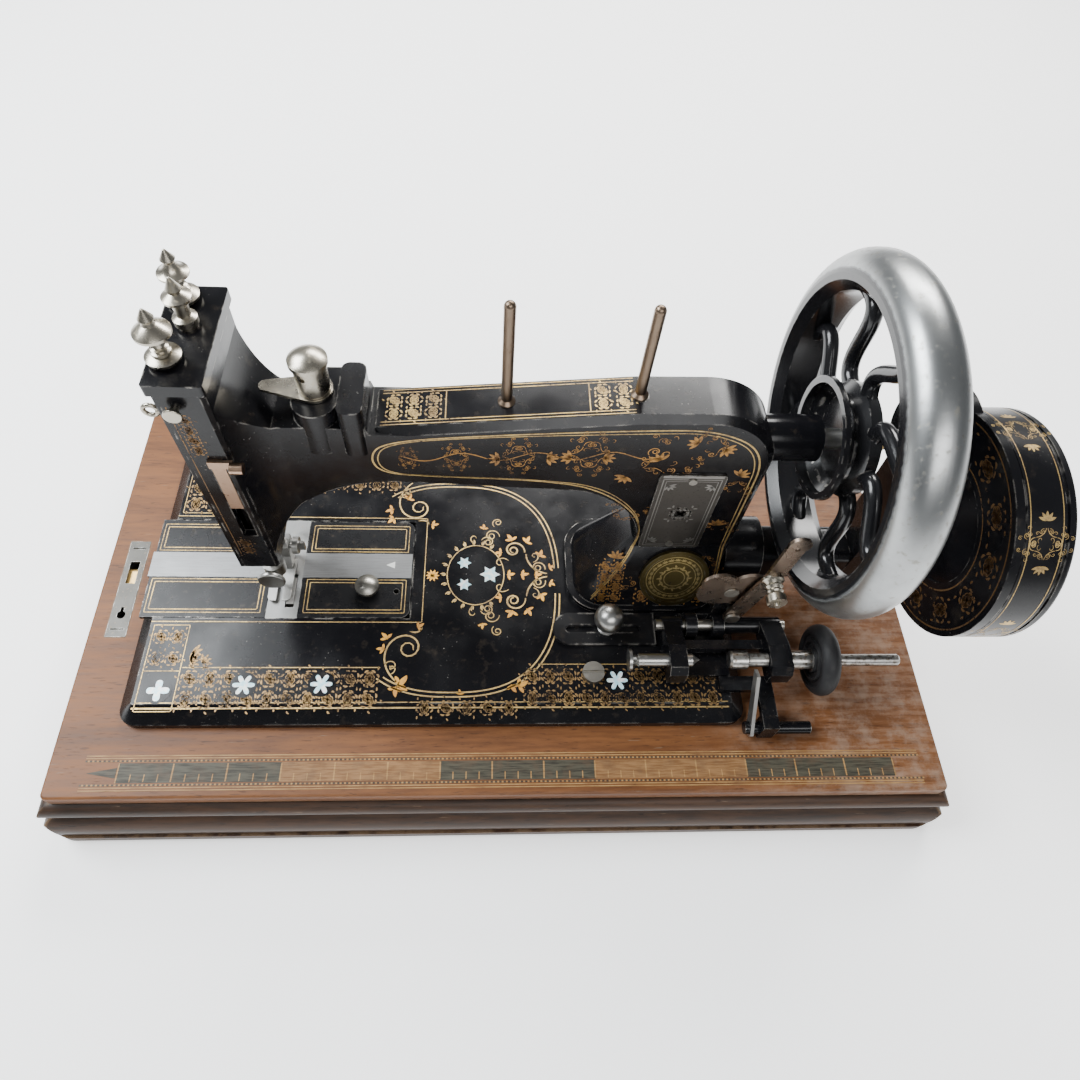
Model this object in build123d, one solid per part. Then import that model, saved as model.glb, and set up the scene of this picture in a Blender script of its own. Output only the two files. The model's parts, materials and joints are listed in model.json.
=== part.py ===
from build123d import *
from math import atan2, cos, pi, radians, sin
import os

os.makedirs("parts", exist_ok=True)

# Hand-crank transverse-shuttle sewing machine, hinged on a moulded wooden base.
# Millimetres.  +X runs along the arm to the handwheel, +Y to the back, +Z up.
# The origin is the middle of the base's underside.

# ------------------------------------------------------------------ clearances
RUN = 0.05          # radial clearance of a shaft or pin in its bore
GAP = 0.3           # clearance between pieces that move past each other

# ------------------------------------------------------------------ wooden base
BOARD_LENGTH = 440.0
BOARD_DEPTH = 242.0
BOARD_THICKNESS = 8.0
BOARD_CORNER = 3.0
BASE_HEIGHT = 45.0
PLINTH_FLARE = 10.0         # how far the lowest moulding stands out
PLINTH_CORNER = 12.0
RAIL_WIDTH = 26.0           # inner part of the rail, behind the board's edge
FLOOR_THICKNESS = 4.0
BEAD_RADIUS = 5.0           # upper round band of the moulding
OVOLO_HEIGHT = 13.0         # lower quarter round of the moulding
FILLET_BAND = 7.5           # flat band at the foot of the moulding

# ------------------------------------------------------------------ bed casting
BED_LEFT = -191.7
BED_LENGTH = 311.7
BED_DEPTH = 174.6
BED_HEIGHT = 12.0
BED_BEVEL = 8.0
BED_CORNER = 9.0
BED_SKIN = 6.0              # thickness of the top plate
BED_RIM = 10.0              # width of the solid rim under the bevel
BED_RIB = 6.0

# ------------------------------------------------------------------ slides and race
RECESS_LENGTH = 138.7       # slide recess, from the bed's left edge
RECESS_FRONT = -33.0
RECESS_BACK = 27.0
PLATE_THICKNESS = 2.5
SLIDE_LIFT = 0.3            # the left plate slides just above its ledge
STRIP_FRONT = -9.0
STRIP_BACK = 6.0
STRIP_THICKNESS = 1.6
STRIP_PROUD = 0.2
NEEDLE_PLATE_WIDTH = 16.0
RACE_FLOOR = 3.0
RACE_DEPTH = 10.0
RACE_WALL = 4.0
SHUTTLE_LENGTH = 44.0
SHUTTLE_WIDTH = 12.0
SHUTTLE_HEIGHT = 9.0
SHUTTLE_STROKE = 25.0       # each way
LEVER_LENGTH = 70.0         # shuttle lever, pivot to carrier pin
CARRIER_PIN = 2.5

# ------------------------------------------------------------------ arm and head
SHAFT_HEIGHT = 171.0        # main shaft above the base's underside
SHAFT_RADIUS = 4.5
ARM_HALF = 13.0             # half width of the arm, front to back
ARM_BEVEL = 3.0
SHOULDER_RADIUS = 32.0       # rounding where the arm turns down into the pillar
PILLAR_RIGHT = 110.0
PILLAR_WIDTH = 50.0
FOOT_HALF = 27.0            # half width of the pillar's foot on the bed
FOOT_SPREAD = 28.0          # how far the foot runs under the arm
FOOT_HEIGHT = 46.0
BOSS_RADIUS = 10.25
BOSS_END = 130.0
HEAD_RIGHT = -112.0
HEAD_WIDTH = 16.4
HEAD_FRONT = -25.5
HEAD_BACK = 23.0
HEAD_BOTTOM = 98.0
HEAD_TOP = SHAFT_HEIGHT + 53.0
HEAD_WALL = 3.5
HEAD_FLOOR = 8.0
CAP_HEIGHT = 5.0            # overhanging cap on top of the head
CAP_OVERHANG = 1.5
FACE_PLATE = 1.6
GUIDE_WEB = 6.0             # web that guides the bars inside the head
GUIDE_WEB_BOTTOM = SHAFT_HEIGHT + 13.0
SPRING_WEB_BOTTOM = SHAFT_HEIGHT - 16.0

# ------------------------------------------------------------------ needle side
BAR_RADIUS = 3.0            # needle bar and presser bar
BAR_X = -121.0
NEEDLE_Y = -13.0
PRESSER_Y = 3.0
CLAMP_BOTTOM = 73.0
CLAMP_HEIGHT = 8.0
NEEDLE_TIP = 50.0
NEEDLE_RADIUS = 0.6
STROKE_UP = 14.0
FOOT_SOLE = 58.0
TAKE_UP_TRAVEL = 22.0
SPINDLE_X = -125.2          # nickel spindles on top of the head
SPINDLE_YS = (-14.4, 16.2)
SPINDLE_RADIUS = 1.6
PRESSURE_THREAD = 3.6

# ------------------------------------------------------------------ handwheel
WHEEL_RADIUS = 79.0
WHEEL_LEFT = 132.0
RIM_WIDTH = 24.0
RIM_DEPTH = 17.0
RIM_SHOULDER = 10.0         # rise of the rim's round back
HUB_RADIUS = 27.0
HUB_WIDTH = 20.0
CUP_DEPTH = 9.0
CUP_WALL = 3.0
HUB_BOSS_RADIUS = 12.0
SPOKES = 8
SPOKE_RADIUS = 3.6
SPOKE_SWING = 10.0          # degrees that a spoke bends each way

# ------------------------------------------------------------------ crank gear
MODULE = 2.0
RING_TEETH = 46
PINION_TEETH = 10
ADDENDUM = 0.85             # tooth height over the pitch circle, in modules
DEDENDUM = 1.10
BACKLASH = 0.35             # thinning of each tooth at the pitch circle
CRANK_ANGLE = 32.4          # crank axis in front of and below the main shaft
CASE_LEFT = 187.0
CASE_THICKNESS = 4.0
DRUM_RADIUS = 50.5
DRUM_WIDTH = 21.0
DRUM_FACE = 4.0
GEAR_WIDTH = 11.0
STUD_RADIUS = 6.0
STUD_HEAD = 8.5
STUD_SINK = 2.6             # depth of crank arm left under the stud's head
NECK_RADIUS = 25.0          # round housing about the main shaft
CRANK_THROW = 68.0
CRANK_THICKNESS = 6.0
GRIP_LENGTH = 68.0
CRANK_REST = -22.0          # degrees that the crank arm is turned down at rest
GRIP_RADIUS = 11.0
GRIP_PIN = 3.0

# ------------------------------------------------------------------ bobbin winder
WINDER_Y = -40.0            # pivot of the winder frame
WINDER_Z = 65.0
WINDER_REACH = 22.0         # pivot to spindle, towards the front
WINDER_RISE = 6.0           # spindle above the pivot
WINDER_ROD = 3.0
WINDER_SPINDLE = 2.6
TYRE_RADIUS = 18.0
TYRE_WIDTH = 9.6

# ------------------------------------------------------------------ derived places
BOARD_TOP = BASE_HEIGHT
BED_TOP = BOARD_TOP + BED_HEIGHT
BED_RIGHT = BED_LEFT + BED_LENGTH
SKIN_UNDER = BED_TOP - BED_SKIN
LEDGE = BED_TOP - PLATE_THICKNESS
RECESS_RIGHT = BED_LEFT + RECESS_LENGTH
NEEDLE_PLATE_LEFT = BAR_X - 6.3
NEEDLE_PLATE_RIGHT = NEEDLE_PLATE_LEFT + NEEDLE_PLATE_WIDTH
HEAD_LEFT = HEAD_RIGHT - HEAD_WIDTH
GEAR_CENTRES = MODULE * (RING_TEETH - PINION_TEETH) / 2
CRANK_Y = -GEAR_CENTRES * cos(radians(CRANK_ANGLE))
CRANK_Z = SHAFT_HEIGHT - GEAR_CENTRES * sin(radians(CRANK_ANGLE))
DRUM_LEFT = CASE_LEFT + CASE_THICKNESS + GAP
DRUM_RIGHT = DRUM_LEFT + DRUM_WIDTH
WHEEL_RIGHT = WHEEL_LEFT + RIM_WIDTH


# ================================================================== small tools
def box(x0, x1, y0, y1, z0, z1):
    """A block between two opposite corners."""
    middle = Pos((x0 + x1) / 2, (y0 + y1) / 2, (z0 + z1) / 2)
    return middle * Box(x1 - x0, y1 - y0, z1 - z0)


def rod_x(x0, x1, y, z, radius):
    """A round bar along X."""
    return Pos((x0 + x1) / 2, y, z) * Rot(0, 90, 0) * Cylinder(radius, x1 - x0)


def rod_y(y0, y1, x, z, radius):
    """A round bar along Y."""
    return Pos(x, (y0 + y1) / 2, z) * Rot(90, 0, 0) * Cylinder(radius, y1 - y0)


def rod_z(z0, z1, x, y, radius):
    """A round bar along Z."""
    return Pos(x, y, (z0 + z1) / 2) * Cylinder(radius, z1 - z0)


def outline(start, *steps):
    """A flat face: each step is a point, or (middle, end) for an arc."""
    edges = []
    here = start
    for step in steps:
        if isinstance(step[0], tuple):
            middle, end = step
            edges.append(ThreePointArc(here, middle, end))
        else:
            end = step
            edges.append(Line(here, end))
        here = end
    if here != start:
        edges.append(Line(here, start))
    return make_face(edges)


def turned_z(x, y, start, *steps):
    """A piece turned about a vertical axis: outline points are (radius, z)."""
    return Pos(x, y, 0) * revolve(Plane.XZ * outline(start, *steps), Axis.Z)


def turned_x(y, z, start, *steps):
    """A piece turned about an axis along X: outline points are (x, radius)."""
    return Pos(0, y, z) * revolve(outline(start, *steps), Axis.X)


def dome(radius, low, high):
    """Last step of a turned outline: a ball's arc from (radius, low) to the axis."""
    rise = high - low
    ball = (radius ** 2 + rise ** 2) / (2 * rise)
    half = atan2(radius, ball - rise) / 2
    return ((ball * sin(half), high - ball + ball * cos(half)), (0, high))


def slab_xz(face, y0, y1):
    """Thickens an (x, z) outline from y0 to y1."""
    return Pos(0, y1, 0) * extrude(Plane.XZ * face, amount=y1 - y0)


def slab_yz(face, x0, x1):
    """Thickens a (y, z) outline from x0 to x1."""
    return Pos(x0, 0, 0) * extrude(Plane.YZ * face, amount=x1 - x0)


def slab_xy(face, z0, z1):
    """Thickens an (x, y) outline from z0 to z1."""
    return Pos(0, 0, z0) * extrude(face, amount=z1 - z0)


def slotted(x, y, top, radius, height):
    """A cheese-head screw head, seated at top, with its screwdriver slot."""
    head = rod_z(top, top + height, x, y, radius)
    slot = box(x - radius, x + radius, y - radius / 7, y + radius / 7, top + height * 0.55, top + height)
    return head - slot


# ================================================================== wooden base
def moulding_section(half_depth):
    """Section of the front rail as a (y, z) face, from its inner face outwards."""
    under = BASE_HEIGHT - BOARD_THICKNESS
    edge = -half_depth
    bead_top = under - 1.0
    bead_foot = bead_top - 2 * BEAD_RADIUS
    ovolo_top = bead_foot - 2.5
    ovolo_foot = ovolo_top - OVOLO_HEIGHT
    return outline(
        (edge + RAIL_WIDTH, 0), (edge + RAIL_WIDTH, under), (edge + 1.5, under), (edge + 1.5, bead_top),
        (edge, bead_top), ((edge - BEAD_RADIUS, bead_top - BEAD_RADIUS), (edge, bead_foot)),
        (edge + 1.5, bead_foot), (edge + 1.5, ovolo_top), (edge - 2.5, ovolo_top),
        ((edge - 0.75 * PLINTH_FLARE, ovolo_top - 0.35 * OVOLO_HEIGHT),
         (edge - 0.85 * PLINTH_FLARE, ovolo_foot)),
        (edge - 0.85 * PLINTH_FLARE, FILLET_BAND), (edge - PLINTH_FLARE, FILLET_BAND),
        (edge - PLINTH_FLARE, 1.5), (edge - PLINTH_FLARE + 1.5, 0))


def rail(half_length, half_depth):
    """One moulded rail along the front of a board, mitred at both ends."""
    reach = half_length + PLINTH_FLARE
    bar = slab_yz(moulding_section(half_depth), -reach, reach)
    inner = half_length - RAIL_WIDTH
    wedge = outline(
        (-reach, -half_depth - PLINTH_FLARE), (reach, -half_depth - PLINTH_FLARE),
        (inner, -half_depth + RAIL_WIDTH), (-inner, -half_depth + RAIL_WIDTH))
    corners = RectangleRounded(2 * reach, 2 * (half_depth + PLINTH_FLARE), PLINTH_CORNER)
    return bar & slab_xy(wedge, 0, BASE_HEIGHT) & slab_xy(corners, 0, BASE_HEIGHT)


LOCK_LEFT = -211.0
LOCK_WIDTH = 10.5
LOCK_FRONT = -38.5
LOCK_LENGTH = 58.0
LOCK_PLATE = 2.0
LOCK_PROUD = 0.2
CASE_DEPTH = 15.0
CASE_MARGIN = 5.0           # lock plate beyond the lock case, at each end
CASE_WALL = 1.8
BOLT_TRAVEL = 7.0
LOCK_RIGHT = LOCK_LEFT + LOCK_WIDTH
LOCK_BACK = LOCK_FRONT + LOCK_LENGTH
LOCK_X = LOCK_LEFT + LOCK_WIDTH / 2
LOCK_PLATE_TOP = BOARD_TOP + LOCK_PROUD
LOCK_PLATE_UNDER = LOCK_PLATE_TOP - LOCK_PLATE
CASE_UNDER = LOCK_PLATE_UNDER - CASE_DEPTH
LOCK_SLOT = (-7.0, 6.5)     # front and back end of the slot for the cover's hook
LOCK_SLOT_WIDTH = 5.0
KEYHOLE_Y = -25.8
LOCK_SCREW_YS = (LOCK_FRONT + 4.4, LOCK_BACK - 4.4)


def lock_mortise():
    """The room that the lock takes out of the board and the rail."""
    plate = box(LOCK_LEFT, LOCK_RIGHT, LOCK_FRONT, LOCK_BACK, LOCK_PLATE_UNDER, BOARD_TOP + 1)
    case = box(LOCK_LEFT, LOCK_RIGHT, LOCK_FRONT + CASE_MARGIN, LOCK_BACK - CASE_MARGIN,
               CASE_UNDER, LOCK_PLATE_UNDER)
    return plate + case


def base_moulding():
    """Four moulded rails, mitred at the corners."""
    long_rail = rail(BOARD_LENGTH / 2, BOARD_DEPTH / 2)
    short_rail = rail(BOARD_DEPTH / 2, BOARD_LENGTH / 2)
    left = Rot(0, 0, -90) * short_rail - lock_mortise()
    return [long_rail, Rot(0, 0, 180) * long_rail, left, Rot(0, 0, 90) * short_rail]


WINDOW_LEFT = BED_LEFT + 5.7
WINDOW_RIGHT = 70.0
WINDOW_FRONT = -60.0
WINDOW_BACK = 80.0


def base_top_board():
    """The board under the bed, with the window that the works hang through."""
    board = slab_xy(RectangleRounded(BOARD_LENGTH, BOARD_DEPTH, BOARD_CORNER),
                    BOARD_TOP - BOARD_THICKNESS, BOARD_TOP)
    board = fillet(board.faces().sort_by(Axis.Z)[-1].edges(), 1.5)
    window = box(WINDOW_LEFT, WINDOW_RIGHT, WINDOW_FRONT, WINDOW_BACK, 0, BASE_HEIGHT + 1)
    return board - window - lock_mortise()


def base_bottom_board():
    """The thin floor let in between the rails."""
    length = BOARD_LENGTH - 2 * RAIL_WIDTH
    depth = BOARD_DEPTH - 2 * RAIL_WIDTH
    return slab_xy(Rectangle(length, depth), 0, FLOOR_THICKNESS)


def lock_plate():
    """Steel face plate of the cover lock: hook slot, keyhole and two screw holes."""
    plate = box(LOCK_LEFT, LOCK_RIGHT, LOCK_FRONT, LOCK_BACK, LOCK_PLATE_UNDER, LOCK_PLATE_TOP)
    half = LOCK_SLOT_WIDTH / 2
    slot = box(LOCK_X - half, LOCK_X + half, LOCK_SLOT[0], LOCK_SLOT[1], LOCK_PLATE_UNDER, LOCK_PLATE_TOP)
    keyhole = rod_z(LOCK_PLATE_UNDER, LOCK_PLATE_TOP, LOCK_X, KEYHOLE_Y, 2.2)
    bit = box(LOCK_X - 0.8, LOCK_X + 0.8, KEYHOLE_Y, KEYHOLE_Y + 4.5, LOCK_PLATE_UNDER, LOCK_PLATE_TOP)
    plate = plate - slot - keyhole - bit
    for y in LOCK_SCREW_YS:
        plate -= rod_z(LOCK_PLATE_UNDER, LOCK_PLATE_TOP, LOCK_X, y, 3.4)
    return plate


def lock_case():
    """Open-topped iron box under the lock plate."""
    front = LOCK_FRONT + CASE_MARGIN
    back = LOCK_BACK - CASE_MARGIN
    outer = box(LOCK_LEFT, LOCK_RIGHT, front, back, CASE_UNDER, LOCK_PLATE_UNDER)
    inner = box(LOCK_LEFT + CASE_WALL, LOCK_RIGHT - CASE_WALL, front + CASE_WALL, back - CASE_WALL,
                CASE_UNDER + CASE_WALL, LOCK_PLATE_UNDER)
    shelf = box(LOCK_LEFT + CASE_WALL, LOCK_RIGHT - CASE_WALL, KEYHOLE_Y + 6, KEYHOLE_Y + 12,
                CASE_UNDER + CASE_WALL, LOCK_PLATE_UNDER - 6 - GAP)
    return outer - inner + shelf


def lock_bolt():
    """Brass bolt that slides under the slot to hold the cover's hook."""
    left = LOCK_LEFT + CASE_WALL + GAP
    right = LOCK_RIGHT - CASE_WALL - GAP
    top = LOCK_PLATE_UNDER - GAP
    front = KEYHOLE_Y + 6
    bar = box(left, right, front, LOCK_SLOT[0] + 8.5, top - 5.7, top)
    nose = rod_x(left, right, LOCK_SLOT[0] + 8.5, top - 2.85, 2.85)
    return bar + nose


def lock_screws():
    """Two countersunk screws, flush with the lock plate."""
    screws = []
    for y in LOCK_SCREW_YS:
        head = rod_z(LOCK_PLATE_UNDER, LOCK_PLATE_TOP, LOCK_X, y, 3.4)
        screws.append(head - box(LOCK_X - 3.4, LOCK_X + 3.4, y - 0.4, y + 0.4,
                                 LOCK_PLATE_TOP - 0.8, LOCK_PLATE_TOP))
    return screws


# ================================================================== hinges
HINGE_XS = (-120.0, 60.0)
KNUCKLE = 3.2
HINGE_PIN = 1.6
HINGE_WIDTH = 34.0
LUG_WIDTH = 12.0
LEAF_DEPTH = 14.0
LEAF_THICKNESS = 1.6
HINGE_Y = BED_DEPTH / 2 + KNUCKLE + 0.5
HINGE_Z = BOARD_TOP + KNUCKLE + GAP


def hinge_leaf(x):
    """Leaf on the board with its two outer knuckles."""
    front = HINGE_Y + KNUCKLE + GAP
    leaf = box(x - HINGE_WIDTH / 2, x + HINGE_WIDTH / 2, front, front + LEAF_DEPTH,
               BOARD_TOP, BOARD_TOP + LEAF_THICKNESS)
    for side in (-1, 1):
        inner = x + side * (LUG_WIDTH / 2 + GAP)
        outer = x + side * HINGE_WIDTH / 2
        low, high = sorted((inner, outer))
        leaf += rod_x(low, high, HINGE_Y, HINGE_Z, KNUCKLE)
        leaf += box(low, high, HINGE_Y, front, BOARD_TOP, BOARD_TOP + KNUCKLE)
    return leaf - rod_x(x - HINGE_WIDTH, x + HINGE_WIDTH, HINGE_Y, HINGE_Z, HINGE_PIN)


def base_hinges():
    """The two leaves screwed to the board behind the bed."""
    return [hinge_leaf(x) for x in HINGE_XS]


def hinge_pins():
    """Two hinge pins, tight in the leaves."""
    return [rod_x(x - HINGE_WIDTH / 2 - 1, x + HINGE_WIDTH / 2 + 1, HINGE_Y, HINGE_Z, HINGE_PIN)
            for x in HINGE_XS]


def bed_hinge_lugs():
    """Middle knuckles on the bed's rear edge, which turn on the pins."""
    lugs = []
    for x in HINGE_XS:
        low, high = x - LUG_WIDTH / 2, x + LUG_WIDTH / 2
        lug = rod_x(low, high, HINGE_Y, HINGE_Z, KNUCKLE)
        lug += box(low, high, BED_DEPTH / 2 - 1, HINGE_Y, BOARD_TOP + GAP,
                   BOARD_TOP + BED_HEIGHT - BED_BEVEL)
        lugs.append(lug - rod_x(low, high, HINGE_Y, HINGE_Z, HINGE_PIN + RUN))
    return lugs


# ================================================================== bed
RACE_LEFT = BED_LEFT + BED_RIM + 0.5
RACE_RIGHT = RECESS_RIGHT - 7.0
OPENING_FRONT = -29.0
OPENING_BACK = 20.0
RACE_FRONT = STRIP_FRONT
RACE_BACK = STRIP_BACK + 1.0
RACE_TOP = SKIN_UNDER
RACE_BED = RACE_TOP - RACE_DEPTH
RACE_UNDER = RACE_BED - RACE_FLOOR
LEVER_Y = -1.0 + LEVER_LENGTH
LEVER_THICKNESS = 4.5
LEVER_TOP = RACE_UNDER - 3.5
LEVER_UNDER = LEVER_TOP - LEVER_THICKNESS
LEVER_STUD = 3.0
SCREW_SPOT = (41.9, -63.9)


def bed():
    """Iron bed plate: bevelled edge, ribbed underneath, open over the race."""
    middle = Pos(BED_LEFT + BED_LENGTH / 2, 0)
    edge = BED_HEIGHT - BED_BEVEL
    rim = middle * RectangleRounded(BED_LENGTH, BED_DEPTH, BED_CORNER)
    foot = slab_xy(rim, BOARD_TOP, BOARD_TOP + edge)
    bevel = extrude(Pos(0, 0, BOARD_TOP + edge) * rim, amount=BED_BEVEL, taper=45)
    plate = foot + bevel
    half = BED_DEPTH / 2 - BED_RIM
    rib_xs = (RECESS_RIGHT + BED_RIB, WINDOW_RIGHT - BED_RIM - BED_RIB)
    pockets = ((BED_LEFT + BED_RIM, rib_xs[0]), (rib_xs[0] + BED_RIB, rib_xs[1]),
               (rib_xs[1] + BED_RIB, BED_RIGHT - BED_RIM))
    for x0, x1 in pockets:
        plate -= box(x0, x1, -half, half, BOARD_TOP, SKIN_UNDER)
    recess = Pos((BED_LEFT + RECESS_RIGHT) / 2, (RECESS_FRONT + RECESS_BACK) / 2)
    plate -= slab_xy(recess * Rectangle(RECESS_LENGTH, RECESS_BACK - RECESS_FRONT), LEDGE, BED_TOP + 1)
    plate -= box(BED_LEFT + BED_RIM, RACE_RIGHT + 2, OPENING_FRONT, OPENING_BACK, BOARD_TOP, BED_TOP)
    plate += rod_z(LEVER_TOP + GAP, SKIN_UNDER, BAR_X, LEVER_Y, 6.0)
    plate -= rod_z(LEVER_TOP, SKIN_UNDER, BAR_X, LEVER_Y, LEVER_STUD)
    for lug in bed_hinge_lugs():
        plate += lug
    return plate


def lever_stud():
    """Shouldered stud that the shuttle lever swings on."""
    pin = rod_z(LEVER_UNDER - GAP, SKIN_UNDER, BAR_X, LEVER_Y, LEVER_STUD)
    head = rod_z(LEVER_UNDER - GAP - 2.0, LEVER_UNDER - GAP, BAR_X, LEVER_Y, 5.0)
    return pin + head


def slide_plate(x0, x1, lift):
    """A black slide plate with the groove that its steel strip lies in."""
    plate = box(x0, x1, RECESS_FRONT + GAP, RECESS_BACK - GAP, LEDGE + lift, BED_TOP)
    groove = box(x0, x1, STRIP_FRONT, STRIP_BACK, BED_TOP + STRIP_PROUD - STRIP_THICKNESS, BED_TOP)
    return plate - groove


def slide_strip(x0, x1):
    """A steel strip that lies over the shuttle's path."""
    top = BED_TOP + STRIP_PROUD
    return box(x0, x1, STRIP_FRONT, STRIP_BACK, top - STRIP_THICKNESS, top)


GUIDE_SCREW = (-76.0, -16.0)
GUIDE_HOLE = (-61.0, -17.0)


def right_slide_plate():
    """Fixed plate right of the needle, with rounded right-hand corners."""
    plate = slide_plate(NEEDLE_PLATE_RIGHT, RECESS_RIGHT - GAP, 0)
    corners = plate.edges().filter_by(Axis.Z).group_by(Axis.X)[-1]
    plate = fillet([corners.sort_by(Axis.Y)[0], corners.sort_by(Axis.Y)[-1]], 5.0)
    plate -= rod_z(LEDGE, BED_TOP, GUIDE_HOLE[0], GUIDE_HOLE[1], 1.4)
    return plate - rod_z(LEDGE, BED_TOP, GUIDE_SCREW[0], GUIDE_SCREW[1], 2.0)


def seam_guide_screw():
    """Domed thumb screw for a cloth guide."""
    x, y = GUIDE_SCREW
    top = BED_TOP
    return turned_z(x, y, (0, LEDGE), (2.0, LEDGE), (2.0, top), (4.2, top), (3.4, top + 2.6),
                    (6.3, top + 3.6),
                    (6.3, top + 5.4), dome(6.3, top + 5.4, top + 8.4))


def needle_plate():
    """Steel needle plate with the needle's hole and the feed dog's slot."""
    plate = box(NEEDLE_PLATE_LEFT, NEEDLE_PLATE_RIGHT, RECESS_FRONT, RECESS_BACK, LEDGE, BED_TOP)
    plate -= rod_z(LEDGE, BED_TOP, BAR_X, NEEDLE_Y, 1.6)
    return plate - box(DOG_LEFT - GAP, DOG_LEFT + DOG_WIDTH + GAP, DOG_FRONT - 2 - GAP,
                       DOG_FRONT + DOG_LENGTH + 2 + GAP, LEDGE, BED_TOP)


DOG_LEFT = -118.0
DOG_WIDTH = 4.0
DOG_FRONT = -24.5
DOG_LENGTH = 15.0
DOG_TEETH = 7


def feed_dog():
    """Toothed feed dog on its block, which slides in a notch of the race."""
    x0, x1 = DOG_LEFT, DOG_LEFT + DOG_WIDTH
    y0, y1 = DOG_FRONT, DOG_FRONT + DOG_LENGTH
    root = BED_TOP - 0.6
    block = box(x0, x1, y0, y1, RACE_TOP - 5.0, root)
    pitch = DOG_LENGTH / DOG_TEETH
    for index in range(DOG_TEETH):
        back = y0 + pitch * (index + 1)
        tooth = outline((back - pitch, root - 0.1), (back, root - 0.1), (back, root + 1.0))
        block += slab_yz(tooth, x0, x1)
    return block


def shuttle_race():
    """Cast trough under the bed that guides the shuttle carrier."""
    body = box(RACE_LEFT, RACE_RIGHT, RACE_FRONT - 7.0, RACE_BACK + RACE_WALL, RACE_UNDER, RACE_TOP)
    body -= box(RACE_LEFT, RACE_RIGHT, RACE_FRONT, RACE_BACK, RACE_BED, RACE_TOP)
    flange = 6.0
    for x0 in (RACE_LEFT, RACE_RIGHT - flange):
        body += box(x0, x0 + flange, OPENING_FRONT - 9, RACE_FRONT, RACE_TOP - 4, RACE_TOP)
        body += box(x0, x0 + flange, RACE_BACK, OPENING_BACK + 9, RACE_TOP - 4, RACE_TOP)
    body -= box(BAR_X - 3, BAR_X + 2, RACE_FRONT - 7.0, RACE_FRONT, RACE_UNDER, RACE_TOP)
    body -= box(DOG_LEFT - GAP, DOG_LEFT + DOG_WIDTH + GAP, RACE_FRONT - 7.0, RACE_FRONT,
                RACE_TOP - 5.0 - GAP, RACE_TOP)
    half = SHUTTLE_STROKE + CARRIER_PIN + 1.5
    body -= box(BAR_X - half, BAR_X + half, -1.0 - CARRIER_PIN - GAP, -1.0 + CARRIER_PIN + GAP,
                RACE_UNDER, RACE_BED)
    return body


def shuttle_carrier():
    """Sliding cradle with two horns and the pin that the lever drives."""
    length = SHUTTLE_LENGTH + 10.0
    x0, x1 = BAR_X - length / 2, BAR_X + length / 2
    front, back = RACE_FRONT + GAP, RACE_BACK - GAP
    low = RACE_BED + GAP
    floor = box(x0, x1, front, back, low, low + 1.7)
    horns = box(x0, x0 + 4.5, front + 2, back, low, low + 6)
    horns += box(x1 - 4.5, x1, front + 2, back, low, low + 6)
    pin = rod_z(LEVER_UNDER, low, BAR_X, -1.0, CARRIER_PIN)
    return floor + horns + pin


SHUTTLE_UNDER = RACE_BED + GAP + 1.7
SHUTTLE_MID_Y = (RACE_FRONT + RACE_BACK) / 2
BOBBIN_LENGTH = 26.0
BOBBIN_RADIUS = 3.2


def shuttle():
    """Boat-shaped shuttle, pointed at its left end, hollow for the bobbin."""
    x0, x1 = BAR_X - SHUTTLE_LENGTH / 2, BAR_X + SHUTTLE_LENGTH / 2
    half = SHUTTLE_WIDTH / 2
    mid = SHUTTLE_MID_Y
    hull = outline((x1, mid - half + 2), (x1, mid + half), (x0 + 16, mid + half),
                   ((x0 + 6, mid + half - 2.5), (x0, mid + 1)),
                   ((x0 + 6, mid - half + 2.0), (x0 + 16, mid - half)),
                   (x1 - 3, mid - half))
    body = slab_xy(hull, SHUTTLE_UNDER, SHUTTLE_UNDER + SHUTTLE_HEIGHT)
    room = BOBBIN_RADIUS + 0.8
    x2 = BAR_X - BOBBIN_LENGTH / 2 + 3
    x3 = x2 + BOBBIN_LENGTH
    return body - box(x2 - 0.5, x3 + 0.5, mid - room, mid + room, SHUTTLE_UNDER + 1.2, SHUTTLE_UNDER + 12)


def bobbin():
    """Long bobbin: a thin core between two end discs, with its end points."""
    x0 = BAR_X - BOBBIN_LENGTH / 2 + 3
    x1 = x0 + BOBBIN_LENGTH
    z = SHUTTLE_UNDER + 1.2 + GAP + BOBBIN_RADIUS
    return turned_x(SHUTTLE_MID_Y, z, (x0 - 0.2, 0), (x0 + 1, 1.0), (x0 + 1, BOBBIN_RADIUS),
                    (x0 + 2, BOBBIN_RADIUS),
                    (x0 + 2, 1.2), (x1 - 2, 1.2), (x1 - 2, BOBBIN_RADIUS), (x1 - 1, BOBBIN_RADIUS),
                    (x1 - 1, 1.0), (x1 + 0.2, 0))


def shuttle_lever():
    """Flat lever with a fork for the carrier pin, swinging on its stud."""
    slack = 1.4
    slot = CARRIER_PIN + slack
    arm = outline((BAR_X - 5, 8), (BAR_X + 5, 8), (BAR_X + 7, LEVER_Y),
                  ((BAR_X, LEVER_Y + 7), (BAR_X - 7, LEVER_Y)))
    fork = box(BAR_X - slot - 4, BAR_X + slot + 4, -8, 10, LEVER_UNDER, LEVER_TOP)
    fork = fillet(fork.edges().filter_by(Axis.Z), 3.0)
    mouth = box(BAR_X - slot, BAR_X + slot, -9, 5, LEVER_UNDER, LEVER_TOP)
    body = slab_xy(arm, LEVER_UNDER, LEVER_TOP) + fork - mouth
    return body - rod_z(LEVER_UNDER, LEVER_TOP, BAR_X, LEVER_Y, LEVER_STUD + RUN)


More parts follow.
